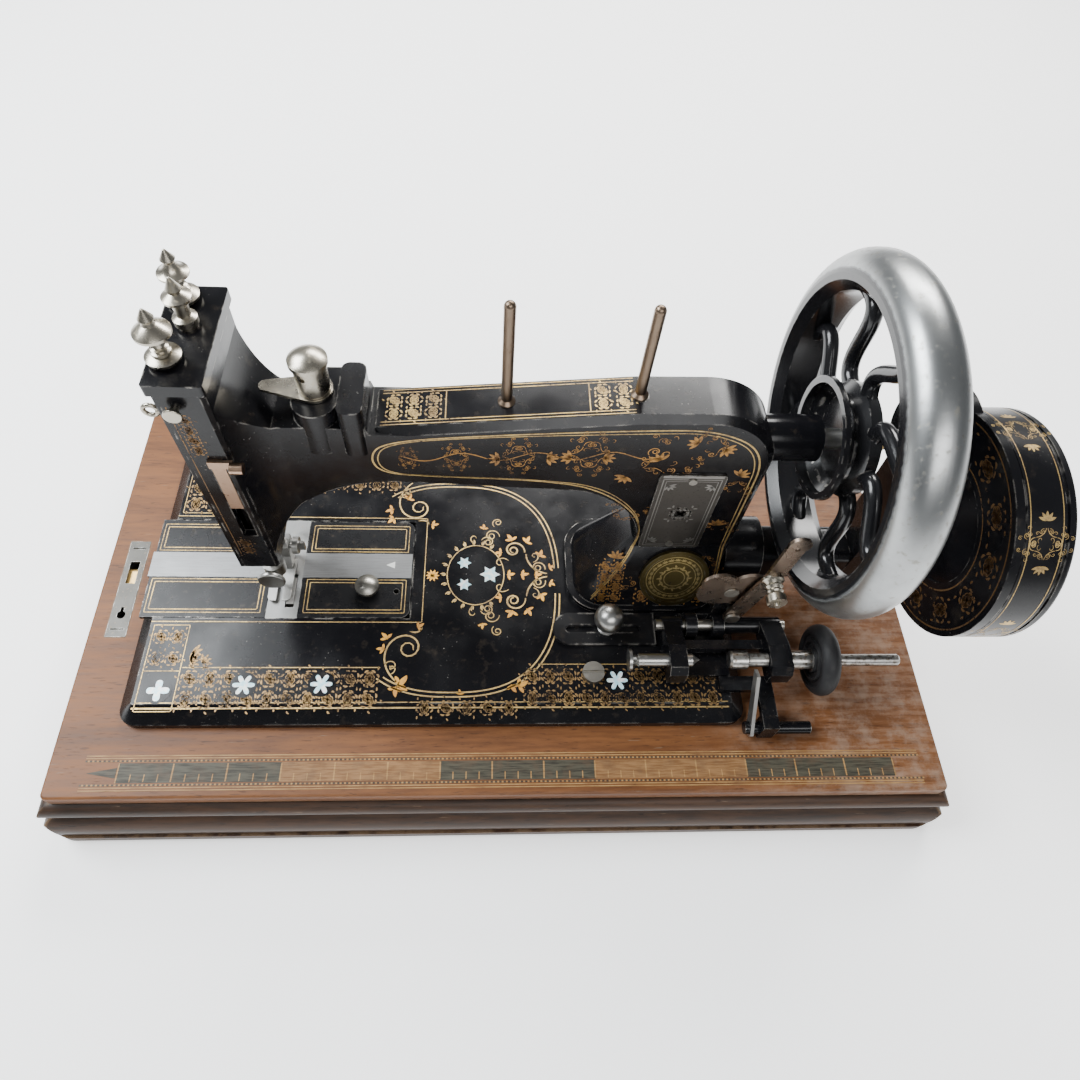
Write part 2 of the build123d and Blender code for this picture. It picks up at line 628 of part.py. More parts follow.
# ================================================================== arm casting
ARM_TOP_LEFT = SHAFT_HEIGHT + 13.5      # top of the arm where its flat band starts
ARM_TOP_RIGHT = SHAFT_HEIGHT + 25.0
BAND_LEFT = -58.0
THROAT_LEFT = -45.0         # where the arm's straight underside starts
THROAT_TOP = SHAFT_HEIGHT - 19.5
SPOOL_XS = (-5.5, 48.0)
SPOOL_RADIUS = 2.25
SPOOL_TOP = ARM_TOP_RIGHT + 46.0
SPOOL_DEPTH = 8.0
SPOOL_TENON = 1.9           # thin foot of a spool pin, in the arm
SPOOL_COLLAR = 3.6
SPOOL_SEAT = 0.4            # depth of the collar's seat in the arm
SPOOL_FOOT = 1.95           # height of the collar's cone over the arm
KNUCKLE_X = -81.0
KNUCKLE_TOP = SHAFT_HEIGHT + 23.0
BARREL_RADIUS = 6.5
BARREL_HEIGHT = 15.5
CAP_STEM = 6.0
VALLEY_TOP = SHAFT_HEIGHT + 15.5          # low place between head and knuckle
BLOCK_TOP = SHAFT_HEIGHT + 26.0
NECK_END_TOP = SHAFT_HEIGHT + 12.0
NECK_LEFT = -96.0           # where the neck's taper meets the arm's depth
BOSS_ROUND = 9.0
BLOCK_LEFT = -71.5
BLOCK_RIGHT = -61.5


def arm_top(x):
    """Height of the arm's sloping top above the base's underside."""
    share = (x - BAND_LEFT) / (SPOOL_XS[1] - BAND_LEFT)
    return ARM_TOP_LEFT + share * (ARM_TOP_RIGHT - ARM_TOP_LEFT)


def neck_profile():
    """Side view of the neck between head and arm, as an (x, z) face."""
    left = HEAD_RIGHT - HEAD_WALL
    return outline(
        (left, HEAD_TOP), (HEAD_RIGHT, HEAD_TOP),
        ((HEAD_RIGHT + 2.7, HEAD_TOP - 24.0), (HEAD_RIGHT + 14.0, VALLEY_TOP)),
        (BLOCK_RIGHT, VALLEY_TOP), (BLOCK_RIGHT + 1.0, NECK_END_TOP),
        (THROAT_LEFT, NECK_END_TOP), (THROAT_LEFT, THROAT_TOP),
        ((HEAD_RIGHT + 30.0, THROAT_TOP - 7.5), (HEAD_RIGHT, HEAD_BOTTOM + 10)),
        (HEAD_RIGHT, HEAD_BOTTOM), (left, HEAD_BOTTOM))


def neck_plan():
    """Plan of the neck, as deep as the head at its left and tapering to the arm."""
    left = HEAD_RIGHT - HEAD_WALL
    front, back = HEAD_FRONT + 2.0, HEAD_BACK - 2.0
    return outline(
        (left, front), (HEAD_RIGHT, front), ((HEAD_RIGHT + 5.5, -ARM_HALF - 5.0), (NECK_LEFT, -ARM_HALF)),
        (THROAT_LEFT, -ARM_HALF), (THROAT_LEFT, ARM_HALF), (NECK_LEFT, ARM_HALF),
        ((HEAD_RIGHT + 6.0, ARM_HALF + 3.5), (HEAD_RIGHT, back)), (left, back))


def neck():
    """The neck with its round-fronted boss under the tension and the block beside it."""
    body = slab_xz(neck_profile(), HEAD_FRONT, HEAD_BACK) & slab_xy(neck_plan(), HEAD_BOTTOM, HEAD_TOP)
    front = BOSS_ROUND - ARM_HALF - 1.0
    body += rod_z(SHAFT_HEIGHT, KNUCKLE_TOP, KNUCKLE_X, front, BOSS_ROUND)
    body += box(KNUCKLE_X - BOSS_ROUND, KNUCKLE_X + BOSS_ROUND, front, ARM_HALF, SHAFT_HEIGHT, KNUCKLE_TOP)
    block = box(BLOCK_LEFT, BLOCK_RIGHT, -ARM_HALF - 1.5, ARM_HALF, SHAFT_HEIGHT, BLOCK_TOP)
    return body + fillet(block.edges().filter_by(Axis.Z), 3.5)


def beam_profile():
    """Side view of the horizontal arm and the pillar, as an (x, z) face."""
    inner = PILLAR_RIGHT - PILLAR_WIDTH
    shoulder = (PILLAR_RIGHT, ARM_TOP_RIGHT + 1.5)
    side = outline(
        (BAND_LEFT, ARM_TOP_LEFT), (SPOOL_XS[1], ARM_TOP_RIGHT), shoulder, (PILLAR_RIGHT, BED_TOP + 10),
        (inner, BED_TOP + 10), (inner, SHAFT_HEIGHT - 67.0),
        ((inner - 9.0, SHAFT_HEIGHT - 39.0), (inner - 32.0, SHAFT_HEIGHT - 24.0)),
        (THROAT_LEFT, THROAT_TOP),
        (THROAT_LEFT, THROAT_TOP + 8), (BAND_LEFT, THROAT_TOP + 8))
    corner = side.vertices().sort_by_distance((*shoulder, 0))[0]
    return fillet(corner, SHOULDER_RADIUS)


def pillar_foot():
    """The pillar's flared foot: a low flange, then a tapered body."""
    sections = []
    foot = (0, FOOT_HALF, FOOT_SPREAD, 16.0)
    neck_end = (FOOT_HEIGHT, ARM_HALF - 1, 1.0, 5.0)
    for height, half, spread, corner in (foot, neck_end):
        width = PILLAR_WIDTH + spread
        face = RectangleRounded(width, 2 * half, corner)
        sections.append(Pos(PILLAR_RIGHT - width / 2, 0, BED_TOP + height) * face)
    width = PILLAR_WIDTH + FOOT_SPREAD + 4
    flange = Pos(PILLAR_RIGHT + 2 - width / 2, 0) * RectangleRounded(width, 2 * FOOT_HALF + 4, 18.0)
    return loft(sections, ruled=True) + slab_xy(flange, BED_TOP, BED_TOP + 3)


def head_column():
    """Upright head, open to the left behind its face plate, with bar guides."""
    column = box(HEAD_LEFT, HEAD_RIGHT, HEAD_FRONT, HEAD_BACK, HEAD_BOTTOM, HEAD_TOP)
    column = chamfer(column.faces().sort_by(Axis.X)[-1].edges().filter_by(Axis.Z), 1.5)
    cap = box(HEAD_LEFT - FACE_PLATE - CAP_OVERHANG, HEAD_RIGHT + CAP_OVERHANG, HEAD_FRONT - CAP_OVERHANG,
              HEAD_BACK + 0.5, HEAD_TOP - CAP_HEIGHT, HEAD_TOP)
    column += fillet(cap.edges().filter_by(Axis.Z), 1.2)
    room = (HEAD_LEFT, HEAD_RIGHT - HEAD_WALL, HEAD_FRONT + HEAD_WALL, HEAD_BACK - HEAD_WALL)
    column -= box(*room, HEAD_BOTTOM + HEAD_FLOOR, GUIDE_WEB_BOTTOM)
    column -= box(*room, GUIDE_WEB_BOTTOM + GUIDE_WEB, HEAD_TOP - HEAD_FLOOR)
    return column


def spring_web():
    """Small web inside the head that the presser spring pushes against."""
    return box(HEAD_LEFT, HEAD_RIGHT, NEEDLE_Y + 5, HEAD_BACK - 1, SPRING_WEB_BOTTOM, SPRING_WEB_BOTTOM + 3)


TAKE_UP_X = -118.5
TAKE_UP_TOP = SHAFT_HEIGHT + 11.0
TAKE_UP_WIDTH = 5.4
TAKE_UP_LENGTH = 34.0


def head_cuts():
    """Bar bores, the take-up's slot and the spindle holes."""
    cuts = rod_z(HEAD_BOTTOM, HEAD_BOTTOM + HEAD_FLOOR, BAR_X, NEEDLE_Y, BAR_RADIUS + RUN)
    cuts += rod_z(GUIDE_WEB_BOTTOM, GUIDE_WEB_BOTTOM + GUIDE_WEB, BAR_X, NEEDLE_Y, BAR_RADIUS + RUN)
    cuts += rod_z(HEAD_BOTTOM, HEAD_BOTTOM + HEAD_FLOOR, BAR_X, PRESSER_Y, BAR_RADIUS + RUN)
    cuts += rod_z(GUIDE_WEB_BOTTOM, GUIDE_WEB_BOTTOM + GUIDE_WEB, BAR_X, PRESSER_Y, BAR_RADIUS + RUN)
    cuts += rod_z(SPRING_WEB_BOTTOM, SPRING_WEB_BOTTOM + 3, BAR_X, PRESSER_Y, BAR_RADIUS + RUN)
    half = TAKE_UP_WIDTH / 2 + GAP
    cuts += box(TAKE_UP_X - half, TAKE_UP_X + half, HEAD_FRONT, HEAD_FRONT + HEAD_WALL,
                TAKE_UP_TOP - TAKE_UP_LENGTH - TAKE_UP_TRAVEL - GAP, TAKE_UP_TOP + GAP)
    for y in SPINDLE_YS:
        cuts += rod_z(HEAD_TOP - HEAD_FLOOR, HEAD_TOP, SPINDLE_X, y, SPINDLE_RADIUS)
    cuts += rod_z(HEAD_TOP - HEAD_FLOOR, HEAD_TOP, BAR_X, PRESSER_Y, PRESSURE_THREAD + RUN)
    return cuts


def arm():
    """The one-piece casting of head, neck, arm and pillar."""
    beam = slab_xz(beam_profile(), -ARM_HALF, ARM_HALF)
    side = beam.edges().filter_by(lambda edge: abs(edge.center().Y) > ARM_HALF - 0.01)
    top = side.filter_by(lambda edge: edge.center().Z > SHAFT_HEIGHT)
    body = chamfer(top, ARM_BEVEL) + neck()
    body += pillar_foot()
    body += head_column()
    for ear in lifter_ears():
        body += ear
    body += rod_x(PILLAR_RIGHT - 30, BOSS_END, 0, SHAFT_HEIGHT, BOSS_RADIUS)
    body += spring_web()
    body -= head_cuts()
    body -= rod_x(HEAD_LEFT, BOSS_END, 0, SHAFT_HEIGHT, SHAFT_RADIUS + RUN)
    for x in SPOOL_XS:
        body -= rod_z(arm_top(x) - SPOOL_DEPTH, SPOOL_TOP, x, 0, SPOOL_TENON)
        body -= rod_z(arm_top(x) - SPOOL_SEAT, SPOOL_TOP, x, 0, SPOOL_COLLAR)
    body -= rod_z(KNUCKLE_TOP - 5, KNUCKLE_TOP, KNUCKLE_X, 0, 4.0)
    return body


def spool_pin(x):
    """An upright pin for a cotton reel: tenon, collar with a cone, round top."""
    low = arm_top(x) - SPOOL_DEPTH
    seat = arm_top(x) - SPOOL_SEAT
    brim = arm_top(x) + SPOOL_FOOT - (SPOOL_COLLAR - SPOOL_RADIUS)
    return turned_z(x, 0, (0, low), (SPOOL_TENON, low), (SPOOL_TENON, seat), (SPOOL_COLLAR, seat),
                    (SPOOL_COLLAR, brim), (SPOOL_RADIUS, arm_top(x) + SPOOL_FOOT),
                    (SPOOL_RADIUS, SPOOL_TOP - 2.0), dome(SPOOL_RADIUS, SPOOL_TOP - 2.0, SPOOL_TOP))


def spool_pins():
    """Two upright pins for cotton reels."""
    return [spool_pin(x) for x in SPOOL_XS]


def face_plate():
    """Thin plate that closes the head's left side."""
    return box(HEAD_LEFT - FACE_PLATE, HEAD_LEFT, HEAD_FRONT, HEAD_BACK, HEAD_BOTTOM, HEAD_TOP - CAP_HEIGHT)


FACE_SCREWS = ((0.0, HEAD_TOP - CAP_HEIGHT - 6), (0.0, HEAD_BOTTOM + 9))


def screw_head_left(y, z, x, radius, height):
    """A slotted screw head on a face that looks towards -X."""
    head = rod_x(x - height, x, y, z, radius)
    return head - box(x - height, x - height * 0.4, y - radius / 7, y + radius / 7, z - radius, z + radius)


def face_plate_screws():
    """Two slotted screws in the face plate."""
    return [screw_head_left(y, z, HEAD_LEFT - FACE_PLATE, 3.2, 2.0) for y, z in FACE_SCREWS]


def thread_eyelets():
    """A wire ring on the face plate and a grooved button on the head's front."""
    x = HEAD_LEFT - FACE_PLATE
    y, z = HEAD_FRONT + 4.5, HEAD_TOP - 19.0
    ring = Pos(x - 5.4, y, z) * Rot(90, 0, 0) * Torus(2.6, 0.9)
    stem = rod_x(x - 3.4, x, y, z, 1.2)
    button_x, button_z = HEAD_RIGHT - 12.0, HEAD_TOP - 13.0
    shank = rod_y(HEAD_FRONT - 4.0, HEAD_FRONT, button_x, button_z, 1.6)
    button = rod_y(HEAD_FRONT - 4.0, HEAD_FRONT - 2.6, button_x, button_z, 3.4)
    return [ring + stem, shank + fillet(button.edges(), 0.5)]


NAME_PLATE = (62.0, 92.0, 101.0, SHAFT_HEIGHT - 10.0)
MEDALLION = (84.0, 80.0)


def name_plate():
    """Bare metal plate on the pillar, rounded at its corners."""
    x0, x1, z0, z1 = NAME_PLATE
    face = Pos((x0 + x1) / 2, (z0 + z1) / 2) * RectangleRounded(x1 - x0, z1 - z0, 2.0)
    return slab_xz(face, -ARM_HALF - 1.2, -ARM_HALF)


def name_plate_screws():
    """Two small round-headed screws."""
    x0, x1, z0, z1 = NAME_PLATE
    x = (x0 + x1) / 2
    front = -ARM_HALF - 1.2
    return [rod_y(front - 1.0, front, x, z, 1.8) for z in (z0 + 4, z1 - 4)]


def medallion():
    """Bare oval brass medallion with a raised rim, on the foot's sloping front."""
    x, z = MEDALLION
    slope = atan2(FOOT_HALF - ARM_HALF + 1, FOOT_HEIGHT)
    y = -FOOT_HALF + (z - BED_TOP) / FOOT_HEIGHT * (FOOT_HALF - ARM_HALF + 1)
    out = (0, -cos(slope), sin(slope))
    seat = Plane(origin=(x, y, z), x_dir=(1, 0, 0), z_dir=out)
    disc = extrude(seat * Ellipse(18.0, 19.0), amount=2.2)
    dish = extrude(seat.offset(1.3) * Ellipse(15.8, 16.8), amount=1.0)
    return disc - dish


# ================================================================== spindles and tension
def spindle_post(y):
    """Spindle with its fixed lower disc, screwed into the head's top."""
    top = HEAD_TOP
    stem = SPINDLE_RADIUS
    return turned_z(SPINDLE_X, y, (0, top - HEAD_FLOOR), (stem, top - HEAD_FLOOR), (stem, top), (4.0, top),
                    (4.0, top + 1.0), (6.1, top + 1.4), (6.3, top + 2.6),
                    ((4.0, top + 3.6), (stem, top + 4.0)),
                    (stem, top + 15.0), (0, top + 15.0))


def finial(x, y, low, radius, bore, depth):
    """Domed disc nut with a pointed finial, bored from below."""
    nut = turned_z(x, y, (0, low), (radius - 3.4, low), (radius - 3.4, low + 1.6), (radius, low + 2.2),
                   (radius, low + 3.2), ((radius - 2.8, low + 5.4), (2.4, low + 6.2)), (1.9, low + 7.2),
                   (2.7, low + 8.6), (0.7, low + 12.0), dome(0.7, low + 12.0, low + 12.5))
    return nut - rod_z(low, low + depth, x, y, bore)


def spindle_posts():
    """The front and rear spindles."""
    return [spindle_post(y) for y in SPINDLE_YS]


def front_tension_nut():
    """Thumb nut of the upper thread tension."""
    return finial(SPINDLE_X, SPINDLE_YS[0], HEAD_TOP + 10.5, 6.5, SPINDLE_RADIUS + RUN, 6.0)


def rear_tension_nut():
    """Thumb nut of the second thread tension."""
    return finial(SPINDLE_X, SPINDLE_YS[1], HEAD_TOP + 9.5, 5.7, SPINDLE_RADIUS + RUN, 6.0)


def tension_springs():
    """Two small coned springs, one on each spindle, between disc and nut."""
    low = HEAD_TOP + 4.0
    springs = []
    for y in SPINDLE_YS:
        springs.append(turned_z(SPINDLE_X, y, (1.7, low), (3.6, low), (3.6, low + 1.0), (2.6, low + 1.5),
                                (3.2, low + 2.5), (2.2, low + 3.0), (2.8, low + 4.0), (2.0, low + 5.2),
                                (1.7, low + 5.2)))
    return springs


def pressure_screw():
    """Screw on top of the head that loads the presser bar."""
    low = HEAD_TOP - HEAD_FLOOR
    top = HEAD_TOP
    return turned_z(BAR_X, PRESSER_Y, (0, low), (PRESSURE_THREAD, low), (PRESSURE_THREAD, top + 1.0),
                    (4.4, top + 1.6), (4.4, top + 4.0), (2.6, top + 5.0), (3.0, top + 11.5),
                    (5.0, top + 12.2),
                    (5.2, top + 13.4), (2.2, top + 15.2), (2.7, top + 16.6), (0.7, top + 20.8),
                    dome(0.7, top + 20.8, top + 21.3))


def tension_lever():
    """Thin plate under the barrel, with the round finger tab at its left end."""
    z = KNUCKLE_TOP
    tab = Pos(KNUCKLE_X - 19.0, 1.0) * Circle(2.8)
    hub = Pos(KNUCKLE_X, 0) * Circle(BARREL_RADIUS + 0.7)
    sheet = make_hull((tab + hub).edges())
    return slab_xy(sheet, z + GAP, z + GAP + 1.4) - rod_z(z, z + 4, KNUCKLE_X, 0, 4.0 + RUN)


def tension_barrel():
    """Nickel barrel of the tension on the neck, with a small cross hole."""
    low = KNUCKLE_TOP
    seat = low + 2 * GAP + 1.4
    top = low + BARREL_HEIGHT
    barrel = rod_z(seat, top, KNUCKLE_X, 0, BARREL_RADIUS)
    stem = rod_z(low - 5, seat, KNUCKLE_X, 0, 4.0)
    bore = rod_z(top - CAP_STEM, top, KNUCKLE_X, 0, 3.0 + RUN)
    hole = rod_y(-BARREL_RADIUS, -4.0, KNUCKLE_X - 2, low + 12.0, 1.1)
    return barrel + stem - bore - hole


def tension_cap():
    """Domed cap that turns on the barrel."""
    low = KNUCKLE_TOP + BARREL_HEIGHT + GAP
    rim = BARREL_RADIUS + 1.1
    cap = turned_z(KNUCKLE_X, 0, (0, low), (rim, low), (rim, low + 1.8), dome(rim, low + 1.8, low + 4.6))
    stem = rod_z(low - CAP_STEM, low, KNUCKLE_X, 0, 3.0)
    return cap + stem


# ================================================================== needle and presser
def needle_bar():
    """Round needle bar, bored at its foot for the needle's shank."""
    bar = rod_z(CLAMP_BOTTOM, SHAFT_HEIGHT + 27.0, BAR_X, NEEDLE_Y, BAR_RADIUS)
    return bar - rod_z(CLAMP_BOTTOM, CLAMP_BOTTOM + 7, BAR_X, NEEDLE_Y, NEEDLE_RADIUS + 0.4)


def needle_clamp():
    """Collar at the foot of the needle bar, with its thread guide."""
    collar = rod_z(CLAMP_BOTTOM, CLAMP_BOTTOM + CLAMP_HEIGHT, BAR_X, NEEDLE_Y, BAR_RADIUS + 2.4)
    collar -= rod_z(CLAMP_BOTTOM, CLAMP_BOTTOM + CLAMP_HEIGHT, BAR_X, NEEDLE_Y, BAR_RADIUS)
    middle = CLAMP_BOTTOM + CLAMP_HEIGHT / 2
    collar -= rod_y(NEEDLE_Y - 9, NEEDLE_Y, BAR_X, middle, 1.5)
    return collar


def needle_clamp_screw():
    """Thumb screw with a round dished head, in front of the clamp."""
    middle = CLAMP_BOTTOM + CLAMP_HEIGHT / 2
    front = NEEDLE_Y - BAR_RADIUS - 2.4
    shank = rod_y(front - 2.0, NEEDLE_Y - BAR_RADIUS, BAR_X, middle, 1.5)
    head = rod_y(front - 4.4, front - 2.0, BAR_X, middle, 6.8)
    head = fillet(head.edges(), 0.9)
    return shank + head


def needle():
    """Round-shanked needle with a tapered point."""
    top = CLAMP_BOTTOM + 7
    shank = NEEDLE_RADIUS + 0.4
    return turned_z(BAR_X, NEEDLE_Y, (0, NEEDLE_TIP), (NEEDLE_RADIUS, NEEDLE_TIP + 4),
                    (NEEDLE_RADIUS, top - 11), (shank, top - 9.5), (shank, top), (0, top))


def presser_bar():
    """Presser bar with the collar that the lifter raises."""
    bar = rod_z(FOOT_SOLE + 8, SHAFT_HEIGHT + 34.0, BAR_X, PRESSER_Y, BAR_RADIUS)
    collar = rod_z(HEAD_BOTTOM + HEAD_FLOOR + 10, HEAD_BOTTOM + HEAD_FLOOR + 16, BAR_X, PRESSER_Y, 5.0)
    return bar + collar


def presser_spring():
    """Spring between the guide web and the presser bar's collar."""
    low = HEAD_BOTTOM + HEAD_FLOOR + 16
    high = SPRING_WEB_BOTTOM
    coils = 7
    pitch = (high - low) / coils
    spring = rod_z(low, high, BAR_X, PRESSER_Y, 3.5)
    for index in range(coils):
        z = low + pitch * (index + 0.5)
        spring += Pos(BAR_X, PRESSER_Y, z) * Torus(3.9, 0.7)
    return spring - rod_z(low, high, BAR_X, PRESSER_Y, BAR_RADIUS + 0.1)


def presser_foot():
    """Hinged-toe foot: two toes with the needle's slot, and a shank on the bar."""
    x, z = BAR_X, FOOT_SOLE
    sole = outline((x - 6.0, NEEDLE_Y - 8), ((x - 5.0, NEEDLE_Y - 10.5), (x - 3.0, NEEDLE_Y - 11)),
                   (x + 3.0, NEEDLE_Y - 11), ((x + 5.0, NEEDLE_Y - 10.5), (x + 6.0, NEEDLE_Y - 8)),
                   (x + 6.0, PRESSER_Y - 2), (x - 6.0, PRESSER_Y - 2))
    plate = slab_xy(sole, z, z + 1.6)
    toe_lift = slab_yz(outline((NEEDLE_Y - 11, z), (NEEDLE_Y - 8, z), (NEEDLE_Y - 11, z + 1.0)), x - 6,
                       x + 6)
    plate -= toe_lift
    plate -= box(x - 1.6, x + 1.6, NEEDLE_Y - 11, NEEDLE_Y + 2.0, z, z + 1.6)
    shank = slab_yz(outline((PRESSER_Y - 8.5, z + 1.0), (PRESSER_Y + 3, z + 1.0), (PRESSER_Y + 4.5, z + 8),
                            (PRESSER_Y + 4.5, z + 17), (PRESSER_Y - 4.5, z + 17), (PRESSER_Y - 4.5, z + 8)),
                    x - 4.5, x + 4.5)
    foot = plate + shank
    foot -= rod_z(z + 8, z + 17, x, PRESSER_Y, BAR_RADIUS)
    return foot - rod_x(x, x + 5, PRESSER_Y, z + 12.5, 1.6)


def foot_screw():
    """Thumb screw that holds the foot to the presser bar."""
    x = BAR_X + 4.5
    z = FOOT_SOLE + 12.5
    shank = rod_x(x - 1.5, x + 1.5, PRESSER_Y, z, 1.6)
    head = rod_x(x + 1.5, x + 4.5, PRESSER_Y, z, 4.6)
    wings = box(x + 4.5, x + 7.5, PRESSER_Y - 0.8, PRESSER_Y + 0.8, z - 3.4, z + 3.4)
    return shank + head + wings


LIFTER_Y = HEAD_BACK + 4.8
LIFTER_Z = HEAD_BOTTOM + 10.0
LIFTER_PIN = 1.8
LIFTER_HALF = 2.2


def presser_lifter():
    """Cranked lever behind the presser bar that raises the foot."""
    y, z = LIFTER_Y, LIFTER_Z
    blade = outline((y - 2.5, z + 3), (y + 2.5, z + 3), (y + 3.0, z - 4),
                    ((y + 3.5, z - 20), (y - 2.0, z - 36)),
                    ((y - 5.0, z - 37.5), (y - 5.5, z - 34.0)), ((y - 1.0, z - 20), (y - 2.5, z - 4)))
    body = slab_yz(blade, BAR_X - LIFTER_HALF, BAR_X + LIFTER_HALF)
    body += rod_x(BAR_X - LIFTER_HALF, BAR_X + LIFTER_HALF, y, z, 4.2)
    return body - rod_x(BAR_X - 3, BAR_X + 3, y, z, LIFTER_PIN + RUN)


def lifter_ears():
    """Two ears behind the head that hold the lifter's pin."""
    ears = []
    for x0, x1 in ((BAR_X - 5.5, BAR_X - LIFTER_HALF - GAP), (BAR_X + LIFTER_HALF + GAP, BAR_X + 5.5)):
        ear = rod_x(x0, x1, LIFTER_Y, LIFTER_Z, 3.6)
        ear += box(x0, x1, HEAD_BACK - 0.5, LIFTER_Y, LIFTER_Z - 3.6, LIFTER_Z + 3.6)
        ears.append(ear - rod_x(x0, x1, LIFTER_Y, LIFTER_Z, LIFTER_PIN))
    return ears


def lifter_pin():
    """Pin through the two ears."""
    return rod_x(BAR_X - 6.0, BAR_X + 6.0, LIFTER_Y, LIFTER_Z, LIFTER_PIN)


def take_up():
    """Take-up slide: a strip flush with the head's front, its flange inside, its hook."""
    inner = HEAD_FRONT + HEAD_WALL + GAP
    half = TAKE_UP_WIDTH / 2
    top = TAKE_UP_TOP
    strip = box(TAKE_UP_X - half, TAKE_UP_X + half, HEAD_FRONT - 0.2, inner + 1.6, top - TAKE_UP_LENGTH,
                top)
    flange = box(TAKE_UP_X - half - 2.0, TAKE_UP_X + half, inner, inner + 1.6, top - TAKE_UP_LENGTH, top)
    finger = box(TAKE_UP_X - half, TAKE_UP_X + 7, HEAD_FRONT - 1.8, HEAD_FRONT - 0.2, top - 4, top)
    finger -= box(TAKE_UP_X + half, TAKE_UP_X + 8, HEAD_FRONT - GAP, HEAD_FRONT, top - 5, top + 1)
    knob = rod_x(TAKE_UP_X + 6, TAKE_UP_X + 11, HEAD_FRONT - 2.9, top - 2, 2.4)
    return strip + flange + finger + knob


# ================================================================== shaft and handwheel
NUT_RIGHT = 158.0


def main_shaft():
    """Main shaft from the head to the pinion, with the crank disc in the head."""
    shaft = rod_x(HEAD_RIGHT - HEAD_WALL, PINION_RIGHT + 1.0, 0, SHAFT_HEIGHT, SHAFT_RADIUS)
    disc = rod_x(HEAD_RIGHT - HEAD_WALL - 2.2, HEAD_RIGHT - HEAD_WALL - GAP, 0, SHAFT_HEIGHT, 11.0)
    neck = rod_x(HEAD_RIGHT - HEAD_WALL - 1, HEAD_RIGHT - HEAD_WALL, 0, SHAFT_HEIGHT, SHAFT_RADIUS)
    return shaft + disc + neck


def rim_section():
    """Section of the rim: a round polished back over a flat inner face."""
    left, right = WHEEL_LEFT, WHEEL_RIGHT
    mid = (left + right) / 2
    shoulder = WHEEL_RADIUS - RIM_SHOULDER
    inner = WHEEL_RADIUS - RIM_DEPTH
    return outline((left, shoulder), ((left + 3.2, WHEEL_RADIUS - 3.4), (mid, WHEEL_RADIUS)),
                   ((right - 3.2, WHEEL_RADIUS - 3.4), (right, shoulder)), (right, shoulder - 3),
                   (right - 4.5, inner), (left + 4.5, inner), (left, shoulder - 3))


def hub_section():
    """Section of the hub: cup flange, belt groove and spoke ring."""
    left = WHEEL_LEFT - 1
    right = left + HUB_WIDTH
    bore = SHAFT_RADIUS
    return outline((left, HUB_RADIUS - CUP_WALL), (left, HUB_RADIUS), (left + 2.5, HUB_RADIUS),
                   (left + 7, HUB_RADIUS - 6),
                   (left + 8, HUB_RADIUS - 6), (left + 11.5, HUB_RADIUS - 1.5),
                   (right - 3, HUB_RADIUS - 2.5),
                   (right - 3, HUB_BOSS_RADIUS), (right, HUB_BOSS_RADIUS - 1), (right, bore),
                   (left + CUP_DEPTH, bore), (left + CUP_DEPTH, HUB_RADIUS - 8),
                   (left + 4, HUB_RADIUS - CUP_WALL))


def spoke():
    """One S-curved round spoke, from the hub up to the rim."""
    x = WHEEL_LEFT - 1 + HUB_WIDTH - 6
    r0, r1 = HUB_RADIUS - 7, WHEEL_RADIUS - RIM_DEPTH + 2.5
    points = []
    for share, bend in ((0, 0), (0.3, SPOKE_SWING), (0.7, -SPOKE_SWING), (1, 0)):
        radius = r0 + share * (r1 - r0)
        turn = radians(bend)
        points.append((x, radius * sin(turn), radius * cos(turn)))
    path = Spline(points)
    section = Plane(origin=path @ 0, z_dir=path % 0) * Circle(SPOKE_RADIUS)
    return sweep(section, path)


def handwheel():
    """Spoked handwheel in one casting, its rim polished outside."""
    wheel = revolve(rim_section(), Axis.X) + revolve(hub_section(), Axis.X)
    arm_of_wheel = spoke()
    for index in range(SPOKES):
        wheel += Rot(360 / SPOKES * index, 0, 0) * arm_of_wheel
    return Pos(0, 0, SHAFT_HEIGHT) * wheel


HUB_RIGHT = WHEEL_LEFT - 1 + HUB_WIDTH


def handwheel_nut():
    """Brass nut that holds the wheel on its shaft."""
    nut = rod_x(HUB_RIGHT, NUT_RIGHT, 0, SHAFT_HEIGHT, 7.0)
    groove = rod_x(HUB_RIGHT + 3, HUB_RIGHT + 4.4, 0, SHAFT_HEIGHT, 8) - rod_x(
        HUB_RIGHT + 3, HUB_RIGHT + 4.4, 0, SHAFT_HEIGHT, 6.0)
    return nut - groove - rod_x(HUB_RIGHT, NUT_RIGHT, 0, SHAFT_HEIGHT, SHAFT_RADIUS)


# ================================================================== crank gear
PINION_LEFT = DRUM_LEFT + 2.0
PINION_RIGHT = PINION_LEFT + GEAR_WIDTH


def tooth_points(teeth, start, outer, inner, half_outer, half_inner):
    """Corner points of a ring of straight-sided teeth, one tooth at angle start."""
    points = []
    for index in range(teeth):
        middle = start + 2 * pi * index / teeth
        for radius, offset in ((inner, -half_inner), (outer, -half_outer), (outer, half_outer),
                               (inner, half_inner)):
            turn = middle + offset / radius
            points.append((radius * cos(turn), radius * sin(turn)))
    return points


def pinion_face():
    """The pinion's outline, one tooth pointing at the crank's axis."""
    pitch = MODULE * PINION_TEETH / 2
    tip, root = pitch + ADDENDUM * MODULE, pitch - DEDENDUM * MODULE
    half = pi * MODULE / 4 - BACKLASH
    start = atan2(CRANK_Z - SHAFT_HEIGHT, CRANK_Y) + pi
    points = tooth_points(PINION_TEETH, start, tip, root, half * 0.55, half * 1.25)
    return make_face(Polyline(*points, close=True))


